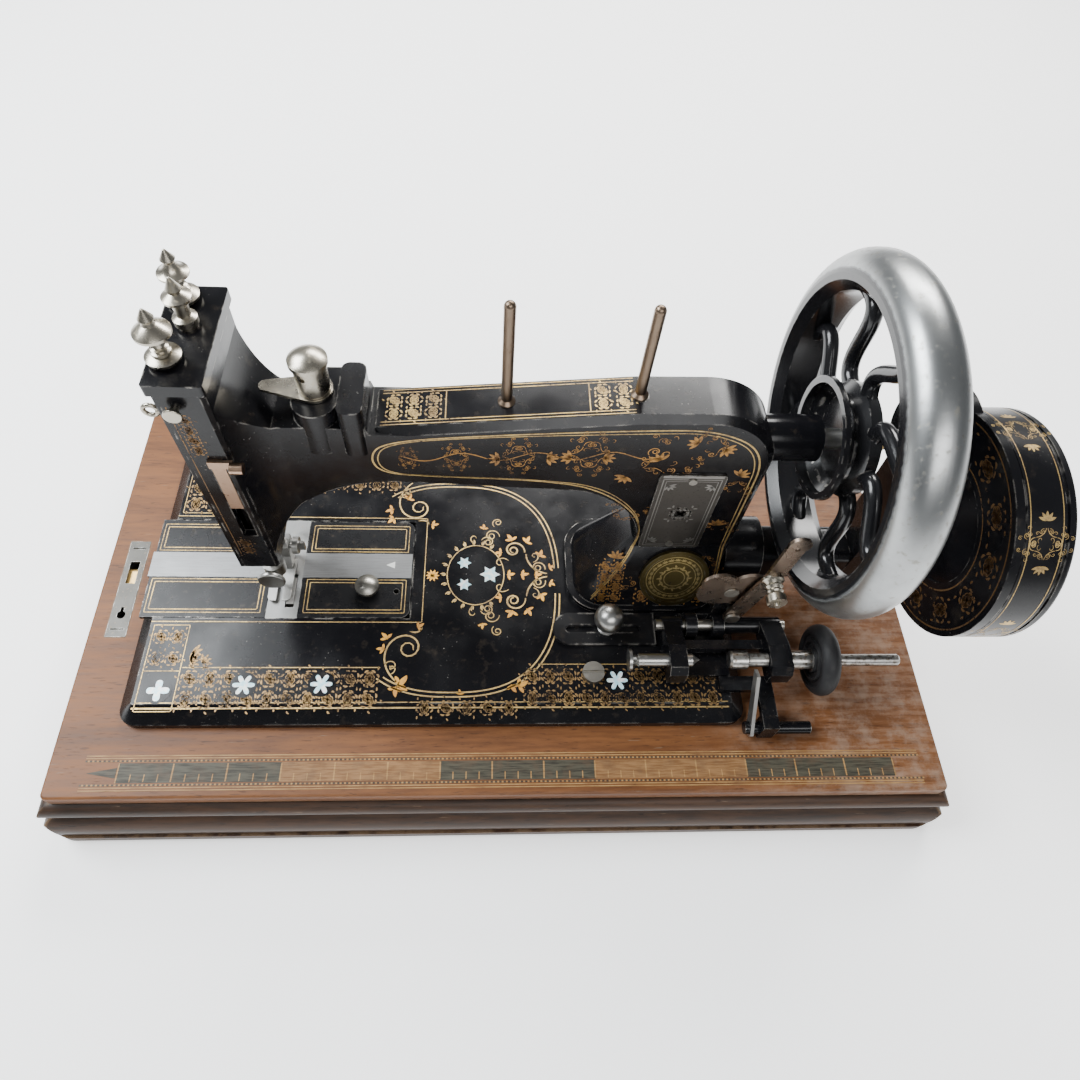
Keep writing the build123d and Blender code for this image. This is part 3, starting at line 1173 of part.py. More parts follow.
def ring_face():
    """The hollow of the ring gear: its gaps are the teeth of this outline."""
    pitch = MODULE * RING_TEETH / 2
    root, tip = pitch + DEDENDUM * MODULE, pitch - ADDENDUM * MODULE
    half = pi * MODULE / 4 + BACKLASH
    start = atan2(SHAFT_HEIGHT - CRANK_Z, -CRANK_Y)
    points = tooth_points(RING_TEETH, start, root, tip, half * 0.75, half * 1.3)
    return make_face(Polyline(*points, close=True))


def pinion():
    """Steel pinion on the end of the main shaft."""
    gear = Pos(0, 0, SHAFT_HEIGHT) * slab_yz(pinion_face(), PINION_LEFT, PINION_RIGHT)
    return gear - rod_x(PINION_LEFT, PINION_RIGHT, 0, SHAFT_HEIGHT, SHAFT_RADIUS)


def crank_drum():
    """Drum with internal teeth, closed to the right, turning on its stud."""
    cup = rod_x(DRUM_LEFT, DRUM_RIGHT, 0, 0, DRUM_RADIUS)
    lip = DRUM_RIGHT - 5.0
    cup -= rod_x(lip, lip + 1.2, 0, 0, DRUM_RADIUS + 1) - rod_x(lip, lip + 1.2, 0, 0, DRUM_RADIUS - 0.8)
    cup = fillet(cup.edges().sort_by(Axis.X)[-1], 2.0)
    room = MODULE * RING_TEETH / 2 + DEDENDUM * MODULE
    cup -= rod_x(DRUM_LEFT, PINION_LEFT - 0.5, 0, 0, room)
    cup -= rod_x(PINION_RIGHT + 0.5, DRUM_RIGHT - DRUM_FACE, 0, 0, room)
    cup -= slab_yz(ring_face(), PINION_LEFT - 0.5, PINION_RIGHT + 0.5)
    cup += rod_x(DRUM_LEFT + GAP, DRUM_RIGHT, 0, 0, STUD_RADIUS + 5)
    cup -= rod_x(DRUM_LEFT, DRUM_RIGHT, 0, 0, STUD_RADIUS + RUN)
    return Pos(0, CRANK_Y, CRANK_Z) * cup


BAR_LOW = BOARD_TOP + 17.0
BAR_HIGH = SHAFT_HEIGHT - WHEEL_RADIUS - 6.0        # the wheel's rim passes over the bar
BRACKET_BOSS_Z = BAR_LOW + 16.0
BRACKET_BOSS_RADIUS = 17.0
BAR_HALF = 11.0


def crank_bracket():
    """Casting that reaches under the wheel and carries shaft bearing and stud."""
    boss = rod_x(PILLAR_RIGHT, WHEEL_LEFT - 2, 0, BRACKET_BOSS_Z, BRACKET_BOSS_RADIUS)
    bar = box(PILLAR_RIGHT + 4, CASE_LEFT, -BAR_HALF, BAR_HALF, BAR_LOW, BAR_HIGH)
    bar = fillet(bar.edges().filter_by(Axis.X), min(5.0, 0.4 * (BAR_HIGH - BAR_LOW)))
    upright = slab_yz(outline((-BAR_HALF, BAR_LOW + 4), (BAR_HALF, BAR_LOW + 4),
                              (BAR_HALF + 3, SHAFT_HEIGHT),
                              (-BAR_HALF - 3, SHAFT_HEIGHT)), CASE_LEFT - 8, CASE_LEFT)
    neck = turned_x(0, SHAFT_HEIGHT, (CASE_LEFT - 13, 0), (CASE_LEFT - 13, NECK_RADIUS - 3),
                    (CASE_LEFT - 10, NECK_RADIUS), (CASE_LEFT + CASE_THICKNESS, NECK_RADIUS),
                    (CASE_LEFT + CASE_THICKNESS, 0))
    plate = rod_x(CASE_LEFT, CASE_LEFT + CASE_THICKNESS, CRANK_Y, CRANK_Z, DRUM_RADIUS)
    body = boss + bar + upright + neck + plate
    body -= rod_x(CASE_LEFT, CASE_LEFT + 1.2, CRANK_Y, CRANK_Z, 27.0) - rod_x(
        CASE_LEFT - 20, CASE_LEFT + 1.2, 0, SHAFT_HEIGHT, NECK_RADIUS) - upright
    body -= rod_x(CASE_LEFT - 14, CASE_LEFT + CASE_THICKNESS, 0, SHAFT_HEIGHT, SHAFT_RADIUS + RUN)
    return body - rod_x(CASE_LEFT - 10, CASE_LEFT + CASE_THICKNESS, CRANK_Y, CRANK_Z, STUD_RADIUS)


def crank_stud():
    """Fixed stud that the drum turns on; its slotted head is sunk in the arm."""
    seat = DRUM_RIGHT + STUD_SINK + GAP
    top = DRUM_RIGHT + CRANK_THICKNESS - GAP
    stud = rod_x(CASE_LEFT + 1.2, seat, CRANK_Y, CRANK_Z, STUD_RADIUS)
    head = rod_x(seat, top, CRANK_Y, CRANK_Z, STUD_HEAD)
    slot = box(top - 1.2, top, CRANK_Y - STUD_HEAD, CRANK_Y + STUD_HEAD, CRANK_Z - 0.8, CRANK_Z + 0.8)
    return stud + head - slot


HINGE_X = DRUM_RIGHT + CRANK_THICKNESS + 1.5 + GRIP_RADIUS
CRANK_END_Y = CRANK_Y + CRANK_THROW
FORK_INNER = 4.0


def at_rest(piece):
    """Turns a level piece of the crank to its place at rest."""
    return Pos(0, CRANK_Y, CRANK_Z) * Rot(CRANK_REST, 0, 0) * Pos(0, -CRANK_Y, -CRANK_Z) * piece


def crank_arm():
    """Flat crank arm on the drum, forked at its end for the folding handle."""
    x0, x1 = DRUM_RIGHT, DRUM_RIGHT + CRANK_THICKNESS
    outer = outline((CRANK_Y, -13.0), ((CRANK_Y - 13.0, 0), (CRANK_Y, 13.0)), (CRANK_END_Y - 8, 8.0),
                    (CRANK_END_Y + 7, 8.0), (CRANK_END_Y + 7, -8.0), (CRANK_END_Y - 8, -8.0))
    arm_plate = slab_yz(outer, x0, x1)
    cheeks = box(x0, HINGE_X + 4.5, CRANK_END_Y - 5, CRANK_END_Y + 7, -8, 8)
    cheeks -= box(x1, HINGE_X + 5, CRANK_END_Y - 5, CRANK_END_Y + 7, -FORK_INNER - GAP, FORK_INNER + GAP)
    body = arm_plate + cheeks
    body -= rod_z(-9, 9, HINGE_X, CRANK_END_Y, 1.8)
    body -= rod_x(x0, x1, CRANK_Y, 0, STUD_RADIUS + RUN)
    body -= rod_x(x0 + STUD_SINK, x1, CRANK_Y, 0, STUD_HEAD + GAP)
    return Pos(0, 0, CRANK_Z) * body


def handle_pin():
    """Pin across the crank arm's fork."""
    return rod_z(CRANK_Z - 8.5, CRANK_Z + 8.5, HINGE_X, CRANK_END_Y, 1.8)


GRIP_BACK = CRANK_END_Y - 9.0
GRIP_FRONT = GRIP_BACK - GRIP_LENGTH


def handle_spindle():
    """Spindle of the grip, with an eye that folds on the fork's pin."""
    eye = rod_z(CRANK_Z - FORK_INNER, CRANK_Z + FORK_INNER, HINGE_X, CRANK_END_Y, 4.2)
    neck = box(HINGE_X - 3, HINGE_X + 3, GRIP_BACK + GAP, CRANK_END_Y, CRANK_Z - FORK_INNER,
               CRANK_Z + FORK_INNER)
    rod = rod_y(GRIP_FRONT - 2.5, GRIP_BACK + 2, HINGE_X, CRANK_Z, GRIP_PIN)
    head = rod_y(GRIP_FRONT - 2.5, GRIP_FRONT - GAP, HINGE_X, CRANK_Z, 5.0)
    body = eye + neck + rod + head
    return body - rod_z(CRANK_Z - 9, CRANK_Z + 9, HINGE_X, CRANK_END_Y, 1.8 + RUN)


def handle_grip():
    """Turned wooden grip, bored for its spindle."""
    length = GRIP_LENGTH
    wood = outline((0, 0), (6.0, 0), ((7.5, 1.2), (7.0, 3.0)), (6.4, 6.0),
                   ((9.2, 0.35 * length), (GRIP_RADIUS, 0.66 * length)),
                   ((9.6, 0.9 * length), (5.5, length)), (0, length))
    grip = revolve(Plane.XZ * wood, Axis.Z)
    grip -= Pos(0, 0, length / 2) * Cylinder(GRIP_PIN + RUN, length)
    return Pos(HINGE_X, GRIP_BACK, CRANK_Z) * Rot(90, 0, 0) * grip


# ================================================================== stitch length
STITCH_PLATE = (22.0, 76.0)
STITCH_Y = -39.2
STITCH_HALF = 9.2
STITCH_THICKNESS = 1.6
STITCH_SLOT = (29.0, 68.0)
SLOT_HALF = 1.9
KNOB_X = 50.0
KNOB_STEM = 1.6
BALL = 7.6


def stitch_plate():
    """Slotted steel plate, round at its left end."""
    x0, x1 = STITCH_PLATE
    face = outline((x1, STITCH_Y - STITCH_HALF), (x1, STITCH_Y + STITCH_HALF),
                   (x0 + STITCH_HALF, STITCH_Y + STITCH_HALF),
                   ((x0, STITCH_Y), (x0 + STITCH_HALF, STITCH_Y - STITCH_HALF)))
    s0, s1 = STITCH_SLOT
    slot = Pos((s0 + s1) / 2, STITCH_Y) * SlotOverall(s1 - s0, 2 * SLOT_HALF)
    return slab_xy(face, BED_TOP, BED_TOP + STITCH_THICKNESS) - slab_xy(slot, BED_TOP,
                                                                        BED_TOP + STITCH_THICKNESS)


def stitch_knob():
    """Round steel knob that slides in the slot to set the stitch length."""
    low = BED_TOP + STITCH_THICKNESS + GAP
    neck = turned_z(KNOB_X, STITCH_Y, (0, BED_TOP + GAP), (KNOB_STEM, BED_TOP + GAP), (KNOB_STEM, low),
                    (4.6, low),
                    (4.6, low + 1.2), (2.2, low + 2.0), (2.2, low + BALL), (0, low + BALL))
    return neck + Pos(KNOB_X, STITCH_Y, low + 4.6 + BALL) * Sphere(BALL)


def bed_screw():
    """Large slotted screw in the bed, beside the winder."""
    return slotted(SCREW_SPOT[0], SCREW_SPOT[1], BED_TOP, 5.6, 3.2)


# ================================================================== bobbin winder
SPINDLE_Y = WINDER_Y - WINDER_REACH
SPINDLE_Z = WINDER_Z + WINDER_RISE
LEFT_ARM = (78.0, 87.0)
RIGHT_ARM = (129.0, 140.0)
EARS = ((90.0, 96.0), (104.0, 110.0))
EAR_RADIUS = 6.5
SLEEVE = 4.6
TYRE_LEFT = 151.0
SPINDLE_END = 197.0


def winder_bracket():
    """Base plate with two ears, screwed to the bed."""
    x0, x1 = EARS[0][0] - 2, EARS[1][1] + 2
    body = box(x0, x1, WINDER_Y - 26, WINDER_Y + 9, BED_TOP, BED_TOP + 3)
    for a, b in EARS:
        body += rod_x(a, b, WINDER_Y, WINDER_Z, EAR_RADIUS)
        body += box(a, b, WINDER_Y - EAR_RADIUS, WINDER_Y + EAR_RADIUS, BED_TOP, WINDER_Z)
    body = body - rod_x(x0 - 1, x1 + 1, WINDER_Y, WINDER_Z, WINDER_ROD) + winder_post()
    body -= rod_y(POST_FRONT, POST_FRONT + 3.4, CAM_X, CAM_Z, CAM_PIN)
    return body - rod_y(POST_FRONT, POST_FRONT + 3.4, GUIDE_X, GUIDE_Z, GUIDE_PIN)


def winder_rod():
    """Pivot rod of the winder frame, tight in the ears."""
    return rod_x(LEFT_ARM[0] - 3, RIGHT_ARM[1] + 3, WINDER_Y, WINDER_Z, WINDER_ROD)


def winder_frame():
    """Swinging frame: two arms on sleeves, tied by a cross bar."""
    front = SPINDLE_Y - 9
    side = outline((WINDER_Y, WINDER_Z - 3.5), (WINDER_Y, WINDER_Z + SLEEVE),
                   (SPINDLE_Y + 6, SPINDLE_Z + 5),
                   (front + 3, SPINDLE_Z + 5), (front, SPINDLE_Z + 1), (front, SPINDLE_Z - 8),
                   (front + 4, SPINDLE_Z - 9.5))
    body = slab_yz(side, *LEFT_ARM) + slab_yz(side, *RIGHT_ARM)
    body += rod_x(LEFT_ARM[0], LEFT_ARM[1] + 1.5, WINDER_Y, WINDER_Z, SLEEVE)
    body += rod_x(EARS[1][1] + GAP, RIGHT_ARM[1], WINDER_Y, WINDER_Z, SLEEVE)
    cross = WINDER_Y - EAR_RADIUS - 3.0
    body += box(LEFT_ARM[0], RIGHT_ARM[1], cross - 5, cross, WINDER_Z - 2.5, WINDER_Z + 2.5)
    body -= rod_x(LEFT_ARM[0], RIGHT_ARM[1], WINDER_Y, WINDER_Z, WINDER_ROD + RUN)
    body -= rod_x(LEFT_ARM[0], LEFT_ARM[1], SPINDLE_Y, SPINDLE_Z, 3.3 + RUN)
    return body - rod_x(RIGHT_ARM[0], RIGHT_ARM[1], SPINDLE_Y, SPINDLE_Z, WINDER_SPINDLE + RUN)


def winder_centre():
    """Sprung centre in the left arm, pulled back by its thin round plate."""
    left, right = LEFT_ARM
    return turned_x(SPINDLE_Y, SPINDLE_Z, (left - 20, 0), (left - 20, 5.6), (left - 18.6, 5.6),
                    (left - 16, 2.2),
                    (left - 15, 3.3), (right + 3, 3.3), (right + 5.5, 1.2), (right + 7.5, 0))


def winder_spindle():
    """Spindle that turns in the right arm, with its driving head."""
    x0, x1 = RIGHT_ARM
    return turned_x(SPINDLE_Y, SPINDLE_Z, (x0 - 20, 0), (x0 - 20, 3.6), (x0 - 19, 4.6), (x0 - 11, 4.6),
                    (x0 - 10, 3.4),
                    (x0 - GAP, 3.4), (x0 - GAP, WINDER_SPINDLE), (x1 + GAP, WINDER_SPINDLE),
                    (x1 + GAP, 4.8),
                    (TYRE_LEFT, 4.8), (TYRE_LEFT, 3.0), (SPINDLE_END - 1, 3.0), (SPINDLE_END, 2.2),
                    (SPINDLE_END, 0))


def winder_tyre():
    """Rubber friction wheel, dished and grooved on its left face."""
    x0, x1 = TYRE_LEFT, TYRE_LEFT + TYRE_WIDTH
    return turned_x(SPINDLE_Y, SPINDLE_Z, (x0, 3.0), (x0, 6.0), (x0 + 1.6, 6.6), (x0 + 1.6, 8.6), (x0, 9.2),
                    (x0, 10.4), (x0 + 1.6, 11.0), (x0 + 1.6, 13.0), (x0, 13.6), (x0, 15.0),
                    ((x0 + TYRE_WIDTH / 2, TYRE_RADIUS), (x1, 15.0)), (x1, 13.0), (x1 - 2.5, 12.0),
                    (x1 - 2.5, 9.0), (x1, 8.0), (x1, 3.0))


CAM_X = 106.5
CAM_Z = 99.0
CAM_LOBE = 15.5
CAM_WAIST = 11.5
PLATE = 1.6                 # thickness of the polished cam and of the guide lever
POST_FRONT = WINDER_Y + 3.6
CAM_FRONT = POST_FRONT - GAP - PLATE
GUIDE_X = 112.0
GUIDE_Z = 77.4
GUIDE_BACK = CAM_FRONT - 1.4
GUIDE_FRONT = GUIDE_BACK - PLATE
GUIDE_PIN = 2.2
CAM_PIN = 2.2
TENSION_X = 120.5
TENSION_Z = 117.0
TENSION_STUD = 1.6


def winder_post():
    """Upright of the winder's bracket, behind the cam."""
    left, right = EARS[1]
    clear = WINDER_Z + EAR_RADIUS + 1.0
    face = outline((left, WINDER_Z), (right, WINDER_Z), (right, clear), (GUIDE_X + 4.5, clear + 2.0),
                   (GUIDE_X + 4.5, GUIDE_Z + 4.0),
                   (CAM_X + 5.5, CAM_Z), ((CAM_X, CAM_Z + 5.5), (CAM_X - 5.5, CAM_Z)))
    return slab_xz(face, POST_FRONT, POST_FRONT + 3.4)


def winder_cam():
    """Heart-shaped polished cam that sways the guide lever."""
    x, z, lobe, waist = CAM_X, CAM_Z, CAM_LOBE, CAM_WAIST
    heart = outline((x, z - waist), ((x + 0.86 * lobe, z - 0.62 * lobe), (x + lobe, z + 0.25 * lobe)),
                    ((x + 0.55 * lobe, z + lobe), (x, z + waist)),
                    ((x - 0.55 * lobe, z + lobe), (x - lobe, z + 0.25 * lobe)),
                    ((x - 0.86 * lobe, z - 0.62 * lobe), (x, z - waist)))
    return slab_xz(heart, CAM_FRONT, CAM_FRONT + PLATE) - rod_y(CAM_FRONT, CAM_FRONT + PLATE, x, z,
                                                                CAM_PIN + RUN)


def winder_studs():
    """Headed studs of the cam and of the guide lever, tight in the post."""
    cam = rod_y(CAM_FRONT - GAP, POST_FRONT + 3.4, CAM_X, CAM_Z, CAM_PIN)
    cam += rod_y(CAM_FRONT - GAP - 0.7, CAM_FRONT - GAP, CAM_X, CAM_Z, CAM_PIN + 1.4)
    guide = rod_y(GUIDE_FRONT - GAP, POST_FRONT + 3.4, GUIDE_X, GUIDE_Z, GUIDE_PIN)
    guide += rod_y(GUIDE_FRONT - GAP - 1.2, GUIDE_FRONT - GAP, GUIDE_X, GUIDE_Z, GUIDE_PIN + 1.6)
    return [cam, guide]


def guide_lever():
    """Long polished lever with a round tip, which lays the thread on the bobbin."""
    x, z = GUIDE_X, GUIDE_Z
    face = outline((x - 4.6, z), ((x, z - 4.6), (x + 4.6, z)), (x + 12.8, TENSION_Z - 4),
                   (x + 15.0, z + 66),
                   ((x + 13.0, z + 74.5), (x + 6.5, z + 71)), (x + 4.5, TENSION_Z))
    plate = slab_xz(face, GUIDE_FRONT, GUIDE_BACK)
    plate -= rod_y(GUIDE_FRONT, GUIDE_BACK, x, z, GUIDE_PIN + RUN)
    return plate - rod_y(GUIDE_FRONT, GUIDE_BACK, x + 11.0, z + 67.0, 1.3)


def winder_tension():
    """Stud, disc and coned spring of the winder's thread tension."""
    front = GUIDE_FRONT
    stack = rod_y(front - 14, front, TENSION_X, TENSION_Z, TENSION_STUD)
    return stack + Pos(0, 0, TENSION_Z) * Pos(TENSION_X, front, 0) * Rot(90, 0, 0) * revolve(
        Plane.XZ * outline((TENSION_STUD, 0), (5.4, 0), (5.4, 1.2), (4.6, 1.8), (3.4, 3.0), (4.4, 4.2),
                           (3.2, 5.4),
                           (4.0, 6.6), (2.4, 8.4), (TENSION_STUD, 8.4)), Axis.Z)


def winder_tension_nut():
    """Thumb nut of the winder's thread tension."""
    back = GUIDE_FRONT - 8.4 - GAP
    nut = rod_y(back - 3.6, back, TENSION_X, TENSION_Z, 4.6)
    return nut - rod_y(back - 3.6, back, TENSION_X, TENSION_Z, TENSION_STUD + RUN)


STOP_X = 126.0
STOP_Y = -BED_DEPTH / 2 - 3.0
STOP_Z = 50.5
STOP_STUD = 3.2


def winder_stop():
    """Black block on the bed's front edge with the stud that the latch turns on."""
    back = WINDER_Y - 26.5
    top = BED_TOP + 3.5
    block = box(BED_RIGHT - 14, STOP_X, back - 7.5, back, BED_TOP, top)
    block += box(STOP_X - 1, STOP_X + 7, STOP_Y - 4, back, BED_TOP, top)
    block += box(STOP_X - 1, STOP_X + 7, STOP_Y - 4, STOP_Y + 4, STOP_Z - 4, top)
    stud = rod_x(STOP_X - 8, STOP_X + 26, STOP_Y, STOP_Z, STOP_STUD)
    return block + stud


def winder_latch():
    """Thin steel latch lever that leans back to the frame."""
    x0 = STOP_X - 5.5
    x1 = x0 + 1.8
    blade = outline((STOP_Y - 4.5, STOP_Z), ((STOP_Y, STOP_Z - 4.5), (STOP_Y + 4.5, STOP_Z)),
                    (SPINDLE_Y - 6, SPINDLE_Z + 2), (SPINDLE_Y - 11, SPINDLE_Z + 4))
    return slab_yz(blade, x0, x1) - rod_x(x0, x1, STOP_Y, STOP_Z, STOP_STUD + RUN)


# ================================================================== export
def parts():
    """Every node of the machine with its piece, or its group of separate pieces."""
    return {
        "base_moulding": base_moulding(),
        "base_top_board": [base_top_board()],
        "base_bottom_board": [base_bottom_board()],
        "lock_plate": [lock_plate()] + lock_screws(),
        "lock_case": [lock_case()],
        "lock_bolt": [lock_bolt()],
        "base_hinges": base_hinges() + hinge_pins(),
        "bed": [bed()],
        "left_slide_plate": [slide_plate(BED_LEFT + 1.0, NEEDLE_PLATE_LEFT - GAP, SLIDE_LIFT),
                             slide_strip(BED_LEFT, NEEDLE_PLATE_LEFT - GAP)],
        "right_slide_plate": [right_slide_plate(), slide_strip(NEEDLE_PLATE_RIGHT, RECESS_RIGHT - 2 * GAP)],
        "needle_plate": [needle_plate()],
        "fixing_screws": face_plate_screws() + name_plate_screws() + [bed_screw(), seam_guide_screw()],
        "feed_dog": [feed_dog()],
        "shuttle_race": [shuttle_race()],
        "shuttle_carrier": [shuttle_carrier()],
        "shuttle": [shuttle()],
        "bobbin": [bobbin()],
        "shuttle_lever": [shuttle_lever()],
        "pivot_studs": [lever_stud(), lifter_pin(), crank_stud(), winder_rod()] + winder_studs(),
        "arm": [arm()],
        "face_plate": [face_plate()],
        "thread_eyelets": thread_eyelets(),
        "name_plate": [name_plate()],
        "medallion": [medallion()],
        "spool_pins": spool_pins(),
        "spindle_posts": spindle_posts() + tension_springs(),
        "presser_spring": [presser_spring()],
        "front_tension_nut": [front_tension_nut()],
        "rear_tension_nut": [rear_tension_nut()],
        "pressure_screw": [pressure_screw()],
        "tension_lever": [tension_lever()],
        "tension_barrel": [tension_barrel()],
        "tension_cap": [tension_cap()],
        "needle_bar": [needle_bar()],
        "needle_clamp": [needle_clamp(), needle_clamp_screw()],
        "needle": [needle()],
        "presser_bar": [presser_bar()],
        "presser_foot": [presser_foot(), foot_screw()],
        "presser_lifter": [presser_lifter()],
        "take_up": [take_up()],
        "main_shaft": [main_shaft()],
        "handwheel": [handwheel()],
        "handwheel_nut": [handwheel_nut()],
        "pinion": [pinion()],
        "crank_bracket": [crank_bracket()],
        "crank_drum": [crank_drum()],
        "crank_arm": [at_rest(crank_arm()), at_rest(handle_pin())],
        "handle_spindle": [at_rest(handle_spindle())],
        "handle_grip": [at_rest(handle_grip())],
        "stitch_plate": [stitch_plate()],
        "stitch_knob": [stitch_knob()],
        "winder_brackets": [winder_bracket(), winder_stop()],
        "winder_frame": [winder_frame()],
        "winder_centre": [winder_centre()],
        "winder_spindle": [winder_spindle(), winder_tyre()],
        "winder_cam": [winder_cam()],
        "guide_lever": [guide_lever()],
        "winder_tension": [winder_tension()],
        "winder_tension_nut": [winder_tension_nut()],
        "winder_latch": [winder_latch()],
    }


for name, pieces in parts().items():
    solids = [solid for piece in pieces for solid in piece.solids()]
    export_step(Compound(solids), f"parts/{name}.step")
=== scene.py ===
"""Looks of a hand-crank sewing machine on its wooden base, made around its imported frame.

Metres.  +X runs along the arm to the handwheel, +Y to the back, +Z up.
"""
import json
import bpy
import numpy as np
from mathutils import Matrix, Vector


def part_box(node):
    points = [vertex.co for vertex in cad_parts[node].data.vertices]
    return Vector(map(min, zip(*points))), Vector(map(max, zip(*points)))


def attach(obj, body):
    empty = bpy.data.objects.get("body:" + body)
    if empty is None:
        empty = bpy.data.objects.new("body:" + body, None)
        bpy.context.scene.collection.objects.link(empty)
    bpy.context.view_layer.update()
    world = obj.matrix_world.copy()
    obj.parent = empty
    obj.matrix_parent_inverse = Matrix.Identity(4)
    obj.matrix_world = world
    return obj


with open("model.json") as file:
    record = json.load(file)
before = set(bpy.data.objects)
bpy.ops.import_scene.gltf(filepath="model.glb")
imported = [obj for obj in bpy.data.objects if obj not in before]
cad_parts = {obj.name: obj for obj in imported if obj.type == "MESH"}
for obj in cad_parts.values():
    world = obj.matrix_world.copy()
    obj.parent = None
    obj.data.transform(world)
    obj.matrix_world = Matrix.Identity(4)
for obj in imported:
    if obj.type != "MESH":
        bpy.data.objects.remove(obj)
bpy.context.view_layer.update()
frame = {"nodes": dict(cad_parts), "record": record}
NODES = frame["nodes"]
MM = 0.001


def corners(node):
    """Lowest and highest corner of a node, in millimetres."""
    low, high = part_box(node)
    return np.array(low) / MM, np.array(high) / MM


BED_LOW, BED_HIGH = corners("bed")
BED_TOP = BED_HIGH[2]
BOARD_TOP = corners("base_top_board")[1][2]
WHEEL_LOW, WHEEL_HIGH = corners("handwheel")
WHEEL_RADIUS = (WHEEL_HIGH[2] - WHEEL_LOW[2]) / 2
SHAFT_Z = (WHEEL_HIGH[2] + WHEEL_LOW[2]) / 2
DRUM_LOW, DRUM_HIGH = corners("crank_drum")
DRUM_RADIUS = (DRUM_HIGH[2] - DRUM_LOW[2]) / 2
DRUM_Y = (DRUM_LOW[1] + DRUM_HIGH[1]) / 2
DRUM_Z = (DRUM_LOW[2] + DRUM_HIGH[2]) / 2
PLATE_LOW, PLATE_HIGH = corners("name_plate")
ARM_FRONT = PLATE_HIGH[1]
SPINDLE_LOW, SPINDLE_HIGH = corners("winder_spindle")
STRIP_FRONT, STRIP_BACK = -9.0, 6.0     # edges of the steel strip on both slide plates


# ================================================================== finishes
class Value:
    """One socket of a finish.  Arithmetic on it adds Math nodes."""

    def __init__(self, finish, socket):
        self.finish = finish
        self.socket = socket

    def math(self, operation, *others):
        return self.finish.math(operation, self, *others)

    def __add__(self, other):
        return self.math("ADD", other)

    def __sub__(self, other):
        return self.math("SUBTRACT", other)

    def __rsub__(self, other):
        return self.finish.math("SUBTRACT", other, self)

    def __mul__(self, other):
        return self.math("MULTIPLY", other)

    def __truediv__(self, other):
        return self.math("DIVIDE", other)

    def __pow__(self, other):
        return self.math("POWER", other)

    def __gt__(self, other):
        return self.math("GREATER_THAN", other)

    def __lt__(self, other):
        return self.math("LESS_THAN", other)

    __radd__ = __add__
    __rmul__ = __mul__

    def rise(self, low, high):
        """0 below low, 1 above high, smooth between."""
        node = self.finish.node("ShaderNodeMapRange", {"interpolation_type": "SMOOTHSTEP"},
                                {"Value": self, "From Min": low, "From Max": high})
        return Value(self.finish, node.outputs["Result"])


class Finish:
    """A material under construction: Object coordinates, patterns and one Principled shader."""

    def __init__(self, name, **numbers):
        self.material = bpy.data.materials.new(name)
        self.material.use_nodes = True
        self.tree = self.material.node_tree
        self.shader = self.tree.nodes["Principled BSDF"]
        for socket, number in numbers.items():
            self.shader.inputs[socket.replace("_", " ")].default_value = number
        self.coordinates = self.node("ShaderNodeTexCoord").outputs["Object"]
        parts = self.node("ShaderNodeSeparateXYZ", {}, {"Vector": self.coordinates})
        self.x, self.y, self.z = (Value(self, parts.outputs[axis]) / MM for axis in "XYZ")

    def node(self, kind, settings=None, inputs=None):
        """Adds a node: its settings first, then a value or a link for each named socket."""
        node = self.tree.nodes.new(kind)
        for key, setting in (settings or {}).items():
            setattr(node, key, setting)
        for key, value in (inputs or {}).items():
            self.feed(node.inputs[key], value)
        return node

    def feed(self, socket, value):
        """Links a socket to what varies, or sets its number."""
        if isinstance(value, Value):
            value = value.socket
        if isinstance(value, bpy.types.NodeSocket):
            self.tree.links.new(value, socket)
        else:
            socket.default_value = value

    def math(self, operation, *values):
        """Adds a Math node for values and plain numbers."""
        node = self.node("ShaderNodeMath", {"operation": operation}, dict(enumerate(values)))
        return Value(self, node.outputs[0])

    def noise(self, size, detail=3.0, stretch=(1, 1, 1), rough=0.55, shift=(0, 0, 0)):
        """Cloudy pattern with spots about size millimetres wide, drawn out by stretch."""
        scale = tuple(1 / (size * MM * s) for s in stretch)
        place = self.node("ShaderNodeMapping", {},
                          {"Vector": self.coordinates, "Scale": scale, "Location": shift})
        node = self.node("ShaderNodeTexNoise", {},
                         {"Vector": place.outputs[0], "Scale": 1.0, "Detail": detail, "Roughness": rough})
        return Value(self, node.outputs[0])

    def mix(self, share, a, b):
        """Colour a where share is 0 and b where it is 1."""
        node = self.node("ShaderNodeMix", {"data_type": "RGBA"}, {0: share, 6: full(a), 7: full(b)})
        return node.outputs[2]

    def edges(self, reach):
        """1 on outer and inner edges, within reach millimetres, and 0 on flat places."""
        bevel = self.node("ShaderNodeBevel", {"samples": 4}, {"Radius": reach * MM})
        true = self.node("ShaderNodeNewGeometry").outputs["Normal"]
        dot = self.node("ShaderNodeVectorMath", {"operation": "DOT_PRODUCT"}, {0: bevel.outputs[0], 1: true})
        return (1 - Value(self, dot.outputs["Value"])).rise(0.015, 0.16)

    def done(self, colour, rough, metal, bump, depth, strength):
        """Connects what varies over the surface and returns the material.  The bump is depth
        millimetres deep, and metal is None where nothing of it is metal."""
        self.feed(self.shader.inputs["Base Color"], colour)
        self.feed(self.shader.inputs["Roughness"], rough)
        if metal is not None:
            self.feed(self.shader.inputs["Metallic"], metal)
        relief = self.node("ShaderNodeBump", {},
                           {"Height": bump, "Distance": depth * MM, "Strength": strength})
        self.feed(self.shader.inputs["Normal"], relief.outputs[0])
        return self.material


def full(colour):
    """A colour of three numbers gets its fourth; a link stays as it is."""
    return (*colour, 1.0) if isinstance(colour, tuple) else colour


BARE_IRON = (0.30, 0.285, 0.26)
OLD_DUST = (0.10, 0.078, 0.055)


